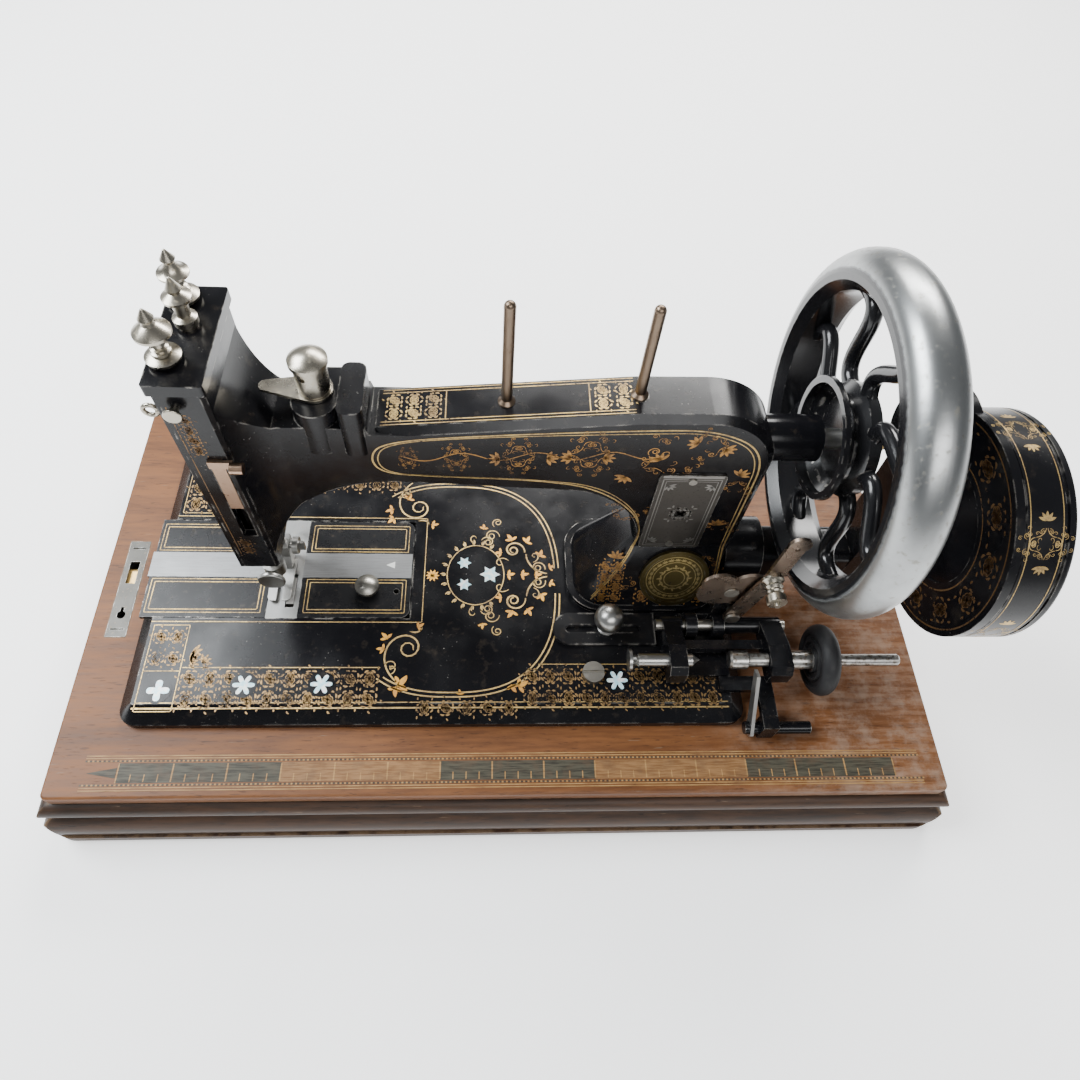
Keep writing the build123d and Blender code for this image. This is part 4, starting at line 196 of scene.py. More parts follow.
def japan(name, shade=(0.004, 0.004, 0.005), wear=1.0, gloss=0.16, edge=0.9):
    """Black japanning: glossy, dusty in patches, rubbed to bare iron along its edges."""
    skin = Finish(name, Specular_IOR_Level=0.22, Coat_Weight=0.03, Coat_Roughness=0.08)
    patches = skin.noise(28, 4)
    grime = skin.noise(5, 5, shift=(3, 1, 2))
    rub = skin.noise(9, 4, shift=(7, 2, 5)).rise(0.47, 0.62)
    pits = skin.noise(1.3, 2, shift=(1, 6, 2)).rise(0.70, 0.76) * patches.rise(0.45, 0.6)
    bare = (skin.edges(edge) * rub * wear).math("MAXIMUM", pits * 0.5 * wear)
    dust = grime.rise(0.55, 0.8) * 0.16
    body = skin.mix(dust, shade, OLD_DUST)
    rough = gloss + patches.rise(0.3, 0.75) * 0.16 + bare * 0.2
    return skin.done(skin.mix(bare, body, BARE_IRON), rough, bare * 0.9, skin.noise(2.2, 3), 0.03, 0.35)


def metal(name, shade, rough=0.28, stain=(0.30, 0.25, 0.18), stained=0.5, along=(1, 1, 1), wear=0.0):
    """Bare or plated metal: brushed along one way, stained in cloudy spots."""
    skin = Finish(name)
    clouds = skin.noise(7, 4)
    spots = skin.noise(1.6, 4, shift=(4, 9, 1)).rise(0.55, 0.75) * clouds.rise(0.35, 0.6)
    brushed = skin.noise(0.6, 2, along)
    body = skin.mix(spots * stained, shade, stain)
    body = skin.mix(brushed.rise(0.3, 0.8) * 0.18, body, tuple(0.55 * part for part in shade))
    if wear:
        rim = skin.edges(0.5) * skin.noise(4, 3, shift=(2, 2, 8)).rise(0.4, 0.6) * wear
        body = skin.mix(rim, body, (0.72, 0.70, 0.66))
    return skin.done(body, rough + clouds * 0.16 + spots * 0.25, 1.0 - spots * 0.35 * stained,
                     brushed, 0.012, 0.3)


def varnished_wood(name, light, dark, worn, along=(9, 1, 1), bloom_and_glare=0.0):
    """Varnished wood: long grain, dark pores, pale rubbed edges, and, where asked for, a painted pale glare
    reflection over the front right and the right end.
    """
    skin = Finish(name, Specular_IOR_Level=0.3, Coat_Weight=0.03, Coat_Roughness=0.3)
    grain = skin.noise(2.4, 6, along, 0.62)
    figure = skin.noise(16, 4, along, 0.5, (5, 3, 1))
    pores = skin.noise(0.5, 2, tuple(1.6 * part for part in along), shift=(2, 7, 3)).rise(0.62, 0.70)
    body = skin.mix((grain * 0.6 + figure * 0.5).rise(0.35, 0.75), dark, light)
    body = skin.mix(pores * 0.55, body, tuple(0.25 * part for part in dark))
    scuffs = skin.noise(11, 6, shift=(9, 9, 2), rough=0.7)
    rubbed = skin.edges(2.2) * scuffs.rise(0.36, 0.56)
    scratches = skin.noise(1.0, 3, (14, 1.4, 1), shift=(3, 3, 3)).rise(0.68, 0.74) * 0.5
    body = skin.mix(scratches.math("MAXIMUM", rubbed), body, worn)
    rough = 0.42 + grain * 0.2 + rubbed * 0.3
    if bloom_and_glare:
        # Painted reflection: a pale cream glare is painted over the front right and the right end of the
        # board. The scuff and grain patterns break it up, and it is rougher there.
        painted_glare_front_right = skin.x.rise(70, 190) * (1 - skin.y.rise(-40, 90))
        painted_glare_right_end = skin.x.rise(175, 225) * 0.8
        place = painted_glare_front_right.math("MAXIMUM", painted_glare_right_end)
        gone_and_glare = place * (scuffs.rise(0.40, 0.66) * 0.7 + grain.rise(0.45, 0.6) * 0.3) * bloom_and_glare
        body = skin.mix(gone_and_glare, body, (0.38, 0.32, 0.26))
        rough = rough + gone_and_glare * 0.2
    return skin.done(body, rough, None, grain * 0.7 + pores * -0.5 + scuffs * 0.3, 0.12, 0.5)


def polished_rim():
    """Handwheel: bright worn steel on the outer round of the rim, black inside."""
    skin = Finish("wheel_polished_rim", Coat_Roughness=0.1)
    radius = (skin.y ** 2 + (skin.z - SHAFT_Z) ** 2) ** 0.5
    ragged = skin.noise(3.5, 4, shift=(1, 4, 1)) * 2.4
    outer = (radius + ragged).rise(WHEEL_RADIUS - 10.6, WHEEL_RADIUS - 9.8)
    bright = outer * (skin.x + ragged * 0.2).rise(WHEEL_LOW[0] + 1.4, WHEEL_LOW[0] + 2.0)
    clouds = skin.noise(18, 4)
    stains = skin.noise(3.0, 5, shift=(2, 8, 2)).rise(0.56, 0.72)
    steel = skin.mix(stains * 0.45, (0.34, 0.35, 0.35), (0.19, 0.165, 0.11))
    steel = skin.mix(clouds.rise(0.4, 0.7) * 0.5, steel, (0.22, 0.225, 0.225))
    chips = skin.edges(1.0) * skin.noise(5, 4, shift=(6, 2, 1)).rise(0.50, 0.62)
    black = skin.mix(chips, (0.007, 0.007, 0.008), BARE_IRON)
    rough = bright * (0.04 + clouds * 0.16 + stains * 0.14) + (0.2 + chips * 0.2)
    return skin.done(skin.mix(bright, black, steel), rough,
                     bright.math("MAXIMUM", chips * 0.8), skin.noise(1.2, 3), 0.02, 0.3)


def slide_finish(name):
    """Black slide plate with its bright steel strip."""
    skin = Finish(name, Specular_IOR_Level=0.25, Coat_Roughness=0.1)
    on_strip = (skin.y > STRIP_FRONT) * (skin.y < STRIP_BACK) * (skin.z > BED_TOP + 0.05)
    clouds = skin.noise(9, 4)
    spots = skin.noise(1.4, 4, shift=(3, 2, 8)).rise(0.58, 0.74)
    brushed = skin.noise(0.5, 2, (22, 1, 1))
    marks = brushed.rise(0.3, 0.8) * 0.4 + spots * 0.3
    steel = skin.mix(marks, (0.20, 0.203, 0.205), (0.11, 0.107, 0.10))
    rub = skin.edges(0.8) * skin.noise(5, 4, shift=(2, 5, 1)).rise(0.44, 0.6)
    black = skin.mix(skin.noise(4, 4).rise(0.55, 0.8) * 0.4, (0.007, 0.007, 0.008), OLD_DUST)
    black = skin.mix(rub, black, BARE_IRON)
    return skin.done(skin.mix(on_strip, black, steel), 0.2 + clouds * 0.16 + on_strip * 0.12,
                     on_strip.math("MAXIMUM", rub * 0.8), brushed, 0.012, 0.25)


def spindle_and_tyre():
    """Steel winder spindle; its friction tyre is black rubber."""
    skin = Finish("winder_spindle_and_tyre", Specular_IOR_Level=0.3)
    tyre_left, tyre_right, hub_radius = 150.9, 160.7, 4.95
    tyre = (skin.x > tyre_left) * (skin.x < tyre_right)
    _, centre_y, centre_z = (SPINDLE_LOW + SPINDLE_HIGH) / 2
    radius = ((skin.y - centre_y) ** 2 + (skin.z - centre_z) ** 2) ** 0.5
    rubber = tyre * (radius > hub_radius)
    bloom_and_glare = skin.noise(3, 5).rise(0.45, 0.8)
    dull = skin.mix(bloom_and_glare * 0.5, (0.007, 0.007, 0.008), (0.022, 0.021, 0.020))
    stains = skin.noise(2, 4, shift=(4, 4, 4)).rise(0.45, 0.7)
    steel = skin.mix(stains, (0.42, 0.41, 0.39), (0.16, 0.13, 0.10))
    return skin.done(skin.mix(rubber, steel, dull), 0.32 + rubber * 0.25, 1 - rubber, bloom_and_glare, 0.04, 0.4)


WORN_WOOD = (0.18, 0.115, 0.065)
FINISHES = {
    "wood_moulding": varnished_wood("moulding_wood", (0.062, 0.028, 0.012), (0.016, 0.008, 0.004), WORN_WOOD),
    # The board carries the painted pale glare reflection at its front right and right end.
    "wood_board": varnished_wood("board_wood", (0.185, 0.070, 0.020), (0.088, 0.031, 0.009),
                                 (0.18, 0.125, 0.08), bloom_and_glare=0.34),
    "wood_floor": varnished_wood("floor_wood", (0.34, 0.21, 0.11), (0.22, 0.12, 0.06), WORN_WOOD),
    "lock_steel": metal("lock_steel", (0.085, 0.082, 0.075), 0.36, stained=0.7, along=(1, 14, 1), wear=0.6),
    "lock_iron": metal("lock_iron", (0.20, 0.18, 0.16), 0.5),
    "lock_brass": metal("lock_brass", (0.62, 0.42, 0.16), 0.35),
    "hinge_iron": japan("hinge_iron", (0.02, 0.018, 0.017), 1.0, 0.35),
    "japanned_bed": japan("bed_japan", wear=1.0, edge=1.4),
    "slide_left": slide_finish("left_slide_japan"),
    "slide_right": slide_finish("right_slide_japan"),
    "plate_steel": metal("needle_plate_steel", (0.24, 0.24, 0.235), 0.33, along=(1, 16, 1), wear=0.4),
    "screw_steel": metal("screw_steel", (0.34, 0.325, 0.29), 0.28, wear=0.5),
    "works_steel": metal("works_steel", (0.42, 0.41, 0.39), 0.34),
    "works_iron": metal("works_iron", (0.17, 0.16, 0.15), 0.5),
    "bright_steel": metal("bright_steel", (0.36, 0.355, 0.34), 0.24, wear=0.4),
    "japanned_arm": japan("arm_japan", wear=1.0, edge=1.0),
    "japanned_face": japan("face_japan", wear=1.0, edge=0.8),
    "nickel": metal("nickel", (0.38, 0.35, 0.29), 0.20, (0.40, 0.33, 0.20), 0.6, wear=0.3),
    "pewter": metal("pewter", (0.085, 0.078, 0.070), 0.40, (0.035, 0.030, 0.026), 0.9, wear=0.9),
    "medal_brass": metal("medal_brass", (0.075, 0.058, 0.022), 0.42, (0.030, 0.024, 0.012), 0.9, wear=0.25),
    "pin_nickel": metal("pin_nickel", (0.17, 0.125, 0.09), 0.27, (0.13, 0.085, 0.055), 0.8, (1, 1, 14)),
    "wheel_iron": polished_rim(),
    "nut_brass": metal("nut_brass", (0.60, 0.42, 0.20), 0.3),
    "japanned_bracket": japan("bracket_japan", wear=0.8),
    "japanned_drum": japan("drum_japan", wear=0.7, gloss=0.22),
    "japanned_crank": japan("crank_japan", wear=0.9),
    "grip_wood": varnished_wood("grip_wood", (0.10, 0.045, 0.02), (0.035, 0.015, 0.008),
                                (0.25, 0.16, 0.10), (1, 9, 1)),
    "japanned_winder": japan("winder_japan", wear=1.0, edge=0.7),
    "winder_rubber": spindle_and_tyre(),
    "cam_steel": metal("cam_steel", (0.34, 0.27, 0.215), 0.20, (0.27, 0.15, 0.09), 0.8),
}


def dress(node, finish):
    """Gives a node its finish."""
    for material_slot in NODES[node].material_slots:
        material_slot.material = finish


for row in frame["record"]["subparts"]:
    dress(row["node"], FINISHES[row["material_slot"]])
dress("take_up", metal("take_up_coppery", (0.40, 0.27, 0.19), 0.22, (0.20, 0.11, 0.07), 0.7))
dress("stitch_plate", japan("stitch_plate_worn_black", wear=1.6, gloss=0.26, edge=2.0))


# ================================================================== meshes
def grid_faces(rows, columns, closed=False):
    """Four corner numbers of each quad of a rows x columns grid, whose columns may close a ring."""
    row = np.arange(rows - 1)[:, None]
    column = np.arange(columns if closed else columns - 1)[None, :]
    up, across = row + 1, (column + 1) % columns
    quads = (row * columns + column, row * columns + across, up * columns + across, up * columns + column)
    return np.stack([part + 0 * row + 0 * column for part in quads], -1).reshape(-1, 4)


TURNS = 96
CLOCKWISE = np.linspace(2 * np.pi, 0, TURNS, endpoint=False)


def disc_faces(rings):
    """Upward faces of a flat disc: quads between its rings, and one face that closes the middle."""
    return grid_faces(rings, TURNS, True).tolist() + [list(reversed(range(TURNS)))]


def make_mesh(name, points, faces):
    """A new piece from an array of points in metres and a list of each face's corner numbers."""
    mesh = bpy.data.meshes.new(name)
    mesh.from_pydata(points.tolist(), [], faces)
    mesh.polygons.foreach_set("use_smooth", np.ones(len(faces), bool))
    piece = bpy.data.objects.new(name, mesh)
    bpy.context.scene.collection.objects.link(piece)
    return piece


# ================================================================== camera, light, floor
def placed(side, up, away, place):
    """The matrix that turns a camera or a light to three directions and puts it at its place."""
    matrix = np.eye(4)
    matrix[:3] = np.stack((side, up, away, place), 1)
    return Matrix(matrix.tolist())


def look():
    """Camera over the front of the bed, close, looking steeply down."""
    data = bpy.data.cameras.new("camera")
    data.sensor_width = 36.0
    data.lens = 26.0
    camera = bpy.data.objects.new("camera", data)
    bpy.context.scene.collection.objects.link(camera)
    right = np.array((0.99776, -0.02551, 0.06183))
    up = np.array((-0.01058, 0.85258, 0.52250))
    forward = np.array((0.06604, 0.52198, -0.85040))
    place = np.array((-12.26, -213.04, 430.34)) * MM
    camera.matrix_world = placed(right, up, -forward, place)
    data.clip_start = 0.01
    bpy.context.scene.camera = camera


def softbox(name, place, target, size, power, tint=(1, 1, 1)):
    """A rectangular studio light that looks at target."""
    data = bpy.data.lights.new(name, "AREA")
    data.shape = "RECTANGLE"
    data.size, data.size_y = size
    data.energy = power
    data.color = tint
    light = bpy.data.objects.new(name, data)
    bpy.context.scene.collection.objects.link(light)
    away = np.array(place) - np.array(target)
    away = away / np.linalg.norm(away)
    side = np.cross((0, 0, 1), away)
    side = side / np.linalg.norm(side)
    light.matrix_world = placed(side, np.cross(away, side), away, place)


def studio():
    """Pale room and three large soft lights."""
    world = bpy.data.worlds.new("studio")
    world.use_nodes = True
    sky = world.node_tree.nodes["Background"]
    sky.inputs["Color"].default_value = (0.86, 0.89, 0.93, 1)
    sky.inputs["Strength"].default_value = 0.26
    bpy.context.scene.world = world
    centre = (0.02, 0.0, 0.1)
    softbox("window_left", (-0.9, 0.25, 1.15), centre, (0.9, 0.7), 42.0, (0.93, 0.97, 1.0))
    softbox("lamp_back", (0.35, 1.1, 1.1), centre, (1.2, 0.4), 36.0, (1.0, 0.99, 0.97))
    softbox("lamp_front", (0.3, -1.2, 1.3), centre, (1.3, 0.6), 17.0)


def floor():
    """A wide disc, 0.2 mm under the base."""
    rings = np.array((0.25, 0.5, 1.0, 2.0, 4.0, 9.0))
    points = rings[:, None, None] * np.stack((np.cos(CLOCKWISE), np.sin(CLOCKWISE), 0 * CLOCKWISE), 1)
    points[..., 2] = -0.2 * MM
    piece = make_mesh("studio_floor", points.reshape(-1, 3), disc_faces(len(rings)))
    paper = Finish("pale_floor", Emission_Strength=0.75)
    shade = paper.mix(paper.noise(60, 3) * 0.15, (0.97, 0.97, 0.965), (0.94, 0.94, 0.935))
    rough = 0.75 + paper.noise(3, 2) * 0.1
    piece.data.materials.append(paper.done(shade, rough, None, paper.noise(1.0, 3), 0.02, 0.2))


# ================================================================== gilt lines
STEPS = 30                  # points along each side of a stroke
LONGEST = 30.0              # millimetres that one stroke of a line covers at most
LIFT = 0.06                 # millimetres that a gilt line stands off its surface


def curls(rows):
    """Both sides of curling strokes.  A row is (x, y, heading, length, bend, coil, width, taper).
    Along its length a stroke turns by bend x share + coil x share cubed, in degrees, and it is
    width x (1 - taper + taper x sin(180 x share) ^ 0.7) wide."""
    rows = np.array(rows, float)
    share = np.linspace(0, 1, STEPS)[None, :]
    x, y, heading, length, bend, coil, width, taper = (rows[:, k, None] for k in range(8))
    turn = np.radians(heading + bend * share + coil * share ** 3)
    step = length / (STEPS - 1)
    across = np.concatenate((x, x + np.cumsum(np.cos(turn[:, :-1]) * step, 1)), 1)
    along = np.concatenate((y, y + np.cumsum(np.sin(turn[:, :-1]) * step, 1)), 1)
    # share is kept off 0 and 1, so that no stroke ends without any width
    swell = np.sin(np.pi * np.clip(share, 0.02, 0.98)) ** 0.7
    wide = width * (1 - taper + taper * swell) / 2
    side = np.stack((-np.sin(turn), np.cos(turn)), -1) * wide[..., None]
    spine = np.stack((across, along), -1)
    return np.stack((spine - side, spine + side), 1)


def band(points, width, rounds=0):
    """Strokes of even width along a line.  Each round cuts every corner at a quarter of its sides."""
    line = np.array(points, float)
    for _ in range(rounds):
        before, after = line[:-1], line[1:]
        cut = np.stack((0.75 * before + 0.25 * after, 0.25 * before + 0.75 * after), 1).reshape(-1, 2)
        line = np.concatenate((line[:1], cut, line[-1:]))
    reach = np.concatenate(((0,), np.cumsum(np.hypot(*np.diff(line, axis=0).T))))
    pieces = int(np.ceil(reach[-1] / LONGEST))
    even = np.linspace(0, reach[-1], pieces * (STEPS - 1) + 1)
    path = np.stack([np.interp(even, reach, line[:, k]) for k in (0, 1)], 1)
    way = np.gradient(path, axis=0)
    way = way / np.hypot(*way.T)[:, None]
    side = np.stack((-way[:, 1], way[:, 0]), 1) * width / 2
    pick = np.arange(STEPS)[None, :] + (STEPS - 1) * np.arange(pieces)[:, None]
    return np.stack(((path - side)[pick], (path + side)[pick]), 1)


def box_line(left, right, first, last):
    """Corners of a box, from the left end of its first side round and back."""
    return ((left, first), (right, first), (right, last), (left, last), (left, first))


def set_down(rows, x, y, turn=0.0, size=1.0, flip=1):
    """Rows of a motif set down at (x, y): turned, sized, and mirrored where flip is -1."""
    rows = np.array(rows, float)
    angle = np.radians(turn)
    across, along = rows[:, 0] * size, rows[:, 1] * size * flip
    placed = rows.copy()
    placed[:, 0] = x + across * np.cos(angle) - along * np.sin(angle)
    placed[:, 1] = y + across * np.sin(angle) + along * np.cos(angle)
    placed[:, 2] = turn + flip * rows[:, 2]
    placed[:, 3] *= size
    placed[:, 4:6] *= flip
    placed[:, 6] *= size
    return placed


def oval(x, y, half_x, half_y, power=2.0, start=0.0, stop=360.0):
    """Ninety points of an oval |x/half_x|^power + |y/half_y|^power = 1 between two angles."""
    angle = np.radians(np.linspace(start, stop, 90))
    across, along = np.cos(angle), np.sin(angle)
    size = (np.abs(across) ** power + np.abs(along) ** power) ** (-1 / power)
    return np.stack((x + half_x * across * size, y + half_y * along * size), 1)


SPRIG = ((0, 0, 45, 7.4, 170, 300, 0.46, 0.3), (0, 0, 88, 4.6, -170, -140, 0.40, 0.4),
         (0, 0, 2, 4.6, 170, 140, 0.40, 0.4), (2.5, 2.6, 112, 2.4, 70, 0, 0.95, 1.0),
         (2.9, 2.2, -20, 2.4, -70, 0, 0.95, 1.0), (3.6, 4.2, 70, 1.8, 40, 0, 0.8, 1.0),
         (0, 0, 45, 2.6, 0, 0, 1.1, 1.0))
CELL = 4.5                  # reach of one sprig each way


def lace(left, right, front, back, pitch=9.6):
    """Rows that fill a box with curling sprigs, four to a cell, every other cell turned about."""
    columns = max(1, round((right - left) / pitch))
    lines = max(1, round((back - front) / pitch))
    wide, deep = (right - left) / columns, (back - front) / lines
    size = min(wide, deep) / (2 * CELL)
    rows = []
    for column in range(columns):
        for line in range(lines):
            x, y = left + wide * (column + 0.5), front + deep * (line + 0.5)
            lean = 45 * ((column + line) % 2)
            for turn, flip in ((lean, 1), (lean, -1), (lean + 180, 1), (lean + 180, -1)):
                rows.append(set_down(SPRIG, x, y, turn, size, flip))
    return np.concatenate(rows)


def gilding(name, strokes, place, body, finish):
    """Strokes in flat millimetres, laid on a surface by place, as one piece riding on body."""
    strokes = np.concatenate(strokes)
    flat = strokes.reshape(-1, 2)
    points = place(flat[:, 0], flat[:, 1]) * MM
    quads = grid_faces(2, STEPS)[None] + (np.arange(len(strokes)) * 2 * STEPS)[:, None, None]
    piece = make_mesh(name, points, quads.reshape(-1, 4).tolist())
    piece.data.materials.append(finish)
    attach(piece, body)


def at_height(height):
    """Lays flat strokes on a level surface at a height, LIFT above it."""
    return lambda x, y: np.stack((x, y, np.full_like(x, height + LIFT)), 1)


def gilt(name, shade, worn, missing):
    """Old gold leaf: bright where kept, brown where thin, gone in specks and patches."""
    leaf = Finish(name)
    patches = leaf.noise(14, 4, shift=(5, 1, 2))
    specks = leaf.noise(0.9, 3, shift=(2, 6, 1))
    thin = (patches * 0.6 + specks * 0.5).rise(0.45, 0.68)
    gone_and_glare = (patches * 0.55 + specks * 0.55).rise(missing, missing + 0.05)
    leaf.feed(leaf.shader.inputs["Alpha"], 1 - gone_and_glare)
    return leaf.done(leaf.mix(thin, shade, worn), 0.34 + specks * 0.2, 0.75 - thin * 0.4, specks, 0.01, 0.2)


GOLD = gilt("gold_lines", (0.56, 0.39, 0.15), (0.24, 0.155, 0.07), 0.68)
ORANGE_GOLD = gilt("orange_gold_leaves", (0.72, 0.38, 0.07), (0.42, 0.19, 0.04), 0.76)
BRONZE = gilt("bronze_lace", (0.34, 0.21, 0.085), (0.11, 0.065, 0.03), 0.60)
DARK_BRONZE = gilt("dark_bronze_scrolls", (0.46, 0.24, 0.07), (0.17, 0.085, 0.03), 0.66)
DIM_BRONZE = gilt("dim_bronze_lace", (0.20, 0.11, 0.042), (0.075, 0.042, 0.02), 0.62)

BIG_SCROLL = ((0, 0, 138, 68, -205, -430, 0.95, 0.25), (-6.6, 9.0, 60, 12, -190, -170, 0.6, 0.4),
              (-3.2, 4.0, 20, 9, 160, 200, 0.55, 0.4), (5.0, 27.6, -20, 8, 60, 60, 0.9, 1.0))
LEAF = ((0, 0, 0, 6.2, 25, 0, 2.4, 1.0), (0.6, 0.3, 52, 4.2, 35, 0, 1.9, 1.0),
        (0.6, -0.3, -52, 4.2, -35, 0, 1.9, 1.0))
FAN = tuple((0, 0, heading, 4.6, 0, 0, 1.5, 1.0) for heading in (-70, -35, 0, 35, 70))
WINGS = ((20, 1.0, 172, 18, -80, 0, 0.9, 0.3), (8, 14.2, 92, 34, 330, 330, 1.0, 0.35),
         (19, 3.4, 85, 22, 330, 260, 0.7, 0.35), (12.5, 8.0, 20, 12, 150, 240, 0.6, 0.5),
         (-6.0, 24.5, 100, 24, 330, 300, 0.6, 0.4), (-16.0, 22.0, 60, 20, -330, -260, 0.6, 0.4),
         (-9.0, 31.0, 130, 16, -300, -240, 0.55, 0.4), (-20.0, 19.5, 150, 9, -120, -150, 0.6, 0.8),
         (-1.0, 9.0, 140, 12, 120, 160, 0.6, 0.5))
BUD = ((0, 0, -25, 3.4, 50, 0, 1.0, 1.0), (0, 0, 40, 2.6, -60, 0, 0.8, 1.0))
QUARTERS = ((0, 1), (0, -1), (180, 1), (180, -1))       # turn and flip of a motif set down four times

OVAL_X, OVAL_Y = -30.0, -11.0           # middle of the large oval
AXIS_Y = -6.4                           # the wreath is mirrored about this line
WREATH_X = -19.0                        # middle of the wreath
BORDER_LEFT, BORDER_RIGHT, BORDER_FRONT = BED_LOW[0] + 8, BED_HIGH[0] - 8, BED_LOW[1] + 8
on_bed = at_height(BED_TOP)


def bed_gold_lines():
    """Oval double line, corner scrolls, wreath and wings, and the borders' lines."""
    lines = [band(oval(OVAL_X, OVAL_Y, *size, 2.6, start, stop), 0.75)
             for *size, start, stop in ((56.5, 65, 8, 128), (56.5, 65, 232, 354),
                                        (54.2, 62.7, 8, 126), (54.2, 62.7, 234, 354))]
    left, right, front = BORDER_LEFT, BORDER_RIGHT, BORDER_FRONT
    plates_right, plates_front, plates_back = -46.6, -35.2, 29.4
    lines.append(band(box_line(left, plates_right, plates_front, plates_back)[:4], 0.5))
    lines.append(band(((left + 0.8, front - 2.2), (right - 2, front - 2.2)), 0.8))
    lines += [band(line, 0.45) for line in (
        ((left + 1.8, front + 0.6), (right - 2, front + 0.6)), ((-163, -60.4), (-66, -60.4)),
        ((14, -58.6), (right - 4, -58.6)), box_line(left + 2, -164, -37.2, -83),
        ((left + 2, -62.2), (-164, -62.2)), box_line(left + 2, -140, 31.5, 75))]
    lines.append(band(oval(WREATH_X, AXIS_Y, 15.4, 18.4), 0.55))
    rows = [set_down(BIG_SCROLL, -57.5, -68.0), set_down(BIG_SCROLL, -56.5, 54.0, 0, 0.95, -1)]
    rows += [set_down(WINGS, 0, AXIS_Y, 0, 1, flip) for flip in (1, -1)]
    for turn in np.arange(60, 301, 17.1):
        x, y = WREATH_X + 16 * np.cos(np.radians(turn)), AXIS_Y + 19 * np.sin(np.radians(turn))
        rows.append(set_down(BUD, x, y, turn))
    gilding("bed_gold_lines", lines + [curls(np.concatenate(rows))], on_bed, "machine", GOLD)


def bed_gold_leaves():
    """Leaves on the corner scrolls and wings, a chain of three and a flower on the axis."""
    leaves = [set_down(LEAF, *spot) for spot in (
        (-63.5, -45.0, 120, 0.8), (-64.6, -50.5, 165, 0.7), (-57.0, -70.5, 40, 1.2),
        (-57.5, -70.5, -100, 0.9), (-58.5, 42.0, 60, 0.8), (-66.0, 35.5, 190, 0.8),
        (-65.0, 29.5, 210, 0.8), (-49.0, -38.0, 20, 0.7), (-44.5, 25.5, -5, 0.7),
        (3.0, -70.5, 15, 1.0), (0.0, -69.5, -70, 0.8), (-25.5, -75.0, 90, 0.5))]
    leaves += [set_down(LEAF, x, AXIS_Y + flip * y, flip * turn, size, flip) for flip in (1, -1)
               for x, y, turn, size in ((1, 21.5, 110, 0.85), (-4.5, 14, 175, 0.7), (8.5, 20.5, 50, 0.8),
                                        (16, 11.5, 60, 0.8), (21, 4.5, 20, 0.6), (-15, 29, 80, 0.6))]
    leaves += [set_down(LEAF, x, AXIS_Y, 0, 0.75) for x in (-2, 5.5, 13)]
    leaves += [set_down(FAN, -42.3, AXIS_Y - 0.8, turn, 0.8) for turn in (0, 180)]
    gilding("bed_gold_leaves", [curls(np.concatenate(leaves))], on_bed, "machine", ORANGE_GOLD)


def bed_lace():
    """Fields of sprigs: three along the front, one at the left end, two at the back; and a few fans."""
    rows = [lace(*field) for field in (
        (BORDER_LEFT + 2.6, -164.6, -61.6, -37.8), (-163.4, -66, -82.4, -61),
        (6, BORDER_RIGHT - 5, -82.4, -59.4), (BORDER_LEFT + 2.6, -140.6, 32, 74.4),
        (-122, -62, 48, 74.4), (-48, 4, -86, -77.5))]
    rows += [set_down(FAN, *spot, 1.1) for spot in ((-160, -52, -20), (-160, -57, 10), (-154, -58, 30))]
    gilding("bed_lace", [curls(np.concatenate(rows))], on_bed, "machine", BRONZE)


def pointer(x, y, length, width):
    """A triangle whose tip points to the left; x is the middle of its right side."""
    stroke = curls(((x, y, 180, length, 0, 0, width, 0.0),))
    stroke[..., 1] = y + (stroke[..., 1] - y) * np.linspace(1, 0.02, STEPS)
    return stroke


FIELD_DROP = 0.2                        # the black fields lie this much lower than the strip


def slide_gilding():
    """Gold lines inset on the black fields of the two slide plates, and a mark on the right strip."""
    for node, body in (("left_slide_plate", "left_slide_plate"), ("right_slide_plate", "machine")):
        low, high = corners(node)
        lines = []
        for inset, width in ((2.8, 0.4), (4.6, 0.5)):
            x0, x1 = low[0] + inset, high[0] - inset
            for outer, inner, side in ((low[1], STRIP_FRONT, -1), (high[1], STRIP_BACK, 1)):
                y0, y1 = inner + side * (inset - 1.6), outer - side * inset
                lines.append(band(((x0, y0), (x0, y1), (x1, y1), (x1, y0), (x0, y0)), width))
        gilding(node + "_gold", lines, at_height(high[2] - FIELD_DROP), body, GOLD)
    mark = metal("strip_mark_bright", (0.62, 0.62, 0.60), 0.5)
    strip_top = corners("right_slide_plate")[1][2]
    gilding("strip_pointer", [pointer(-62.8, -1.0, 4.6, 4.2)], at_height(strip_top), "machine", mark)


FOOT_SLOPE = 15.0 / 46.0                # lean of the pillar's foot: back per height
FOOT_FRONT = -27.0                      # front of the foot where it meets the bed


def on_arm(x, z):
    """The arm's front, and below it the sloping front of the foot."""
    slope = FOOT_FRONT + (z - BED_TOP) * FOOT_SLOPE
    return np.stack((x, np.minimum(ARM_FRONT, slope) - LIFT, z), 1)


ARM_LINE = ((42, 64), (56, 86), (62, 106), (58, 128), (36, 149), (8, 154.5), (-40, 156.2), (-58, 158),
            (-62, 168), (-56, 178.5), (-20, 183.6), (52, 189.6), (82, 190), (104.5, 176), (105.5, 140),
            (105.5, 100), (107, 66))
ARM_LINE_MIDDLE = np.array((52.0, 160.0))       # the inner line is drawn in towards this point


def arm_gold_lines():
    """Double line around the arm's front."""
    outer = np.array(ARM_LINE, float)
    inward = ARM_LINE_MIDDLE - outer
    inner = outer + inward / np.hypot(*inward.T)[:, None] * 2.2
    lines = [band(outer, 0.8, rounds=4), band(inner, 0.5, rounds=4)]
    gilding("arm_gold_lines", lines, on_arm, "machine", GOLD)


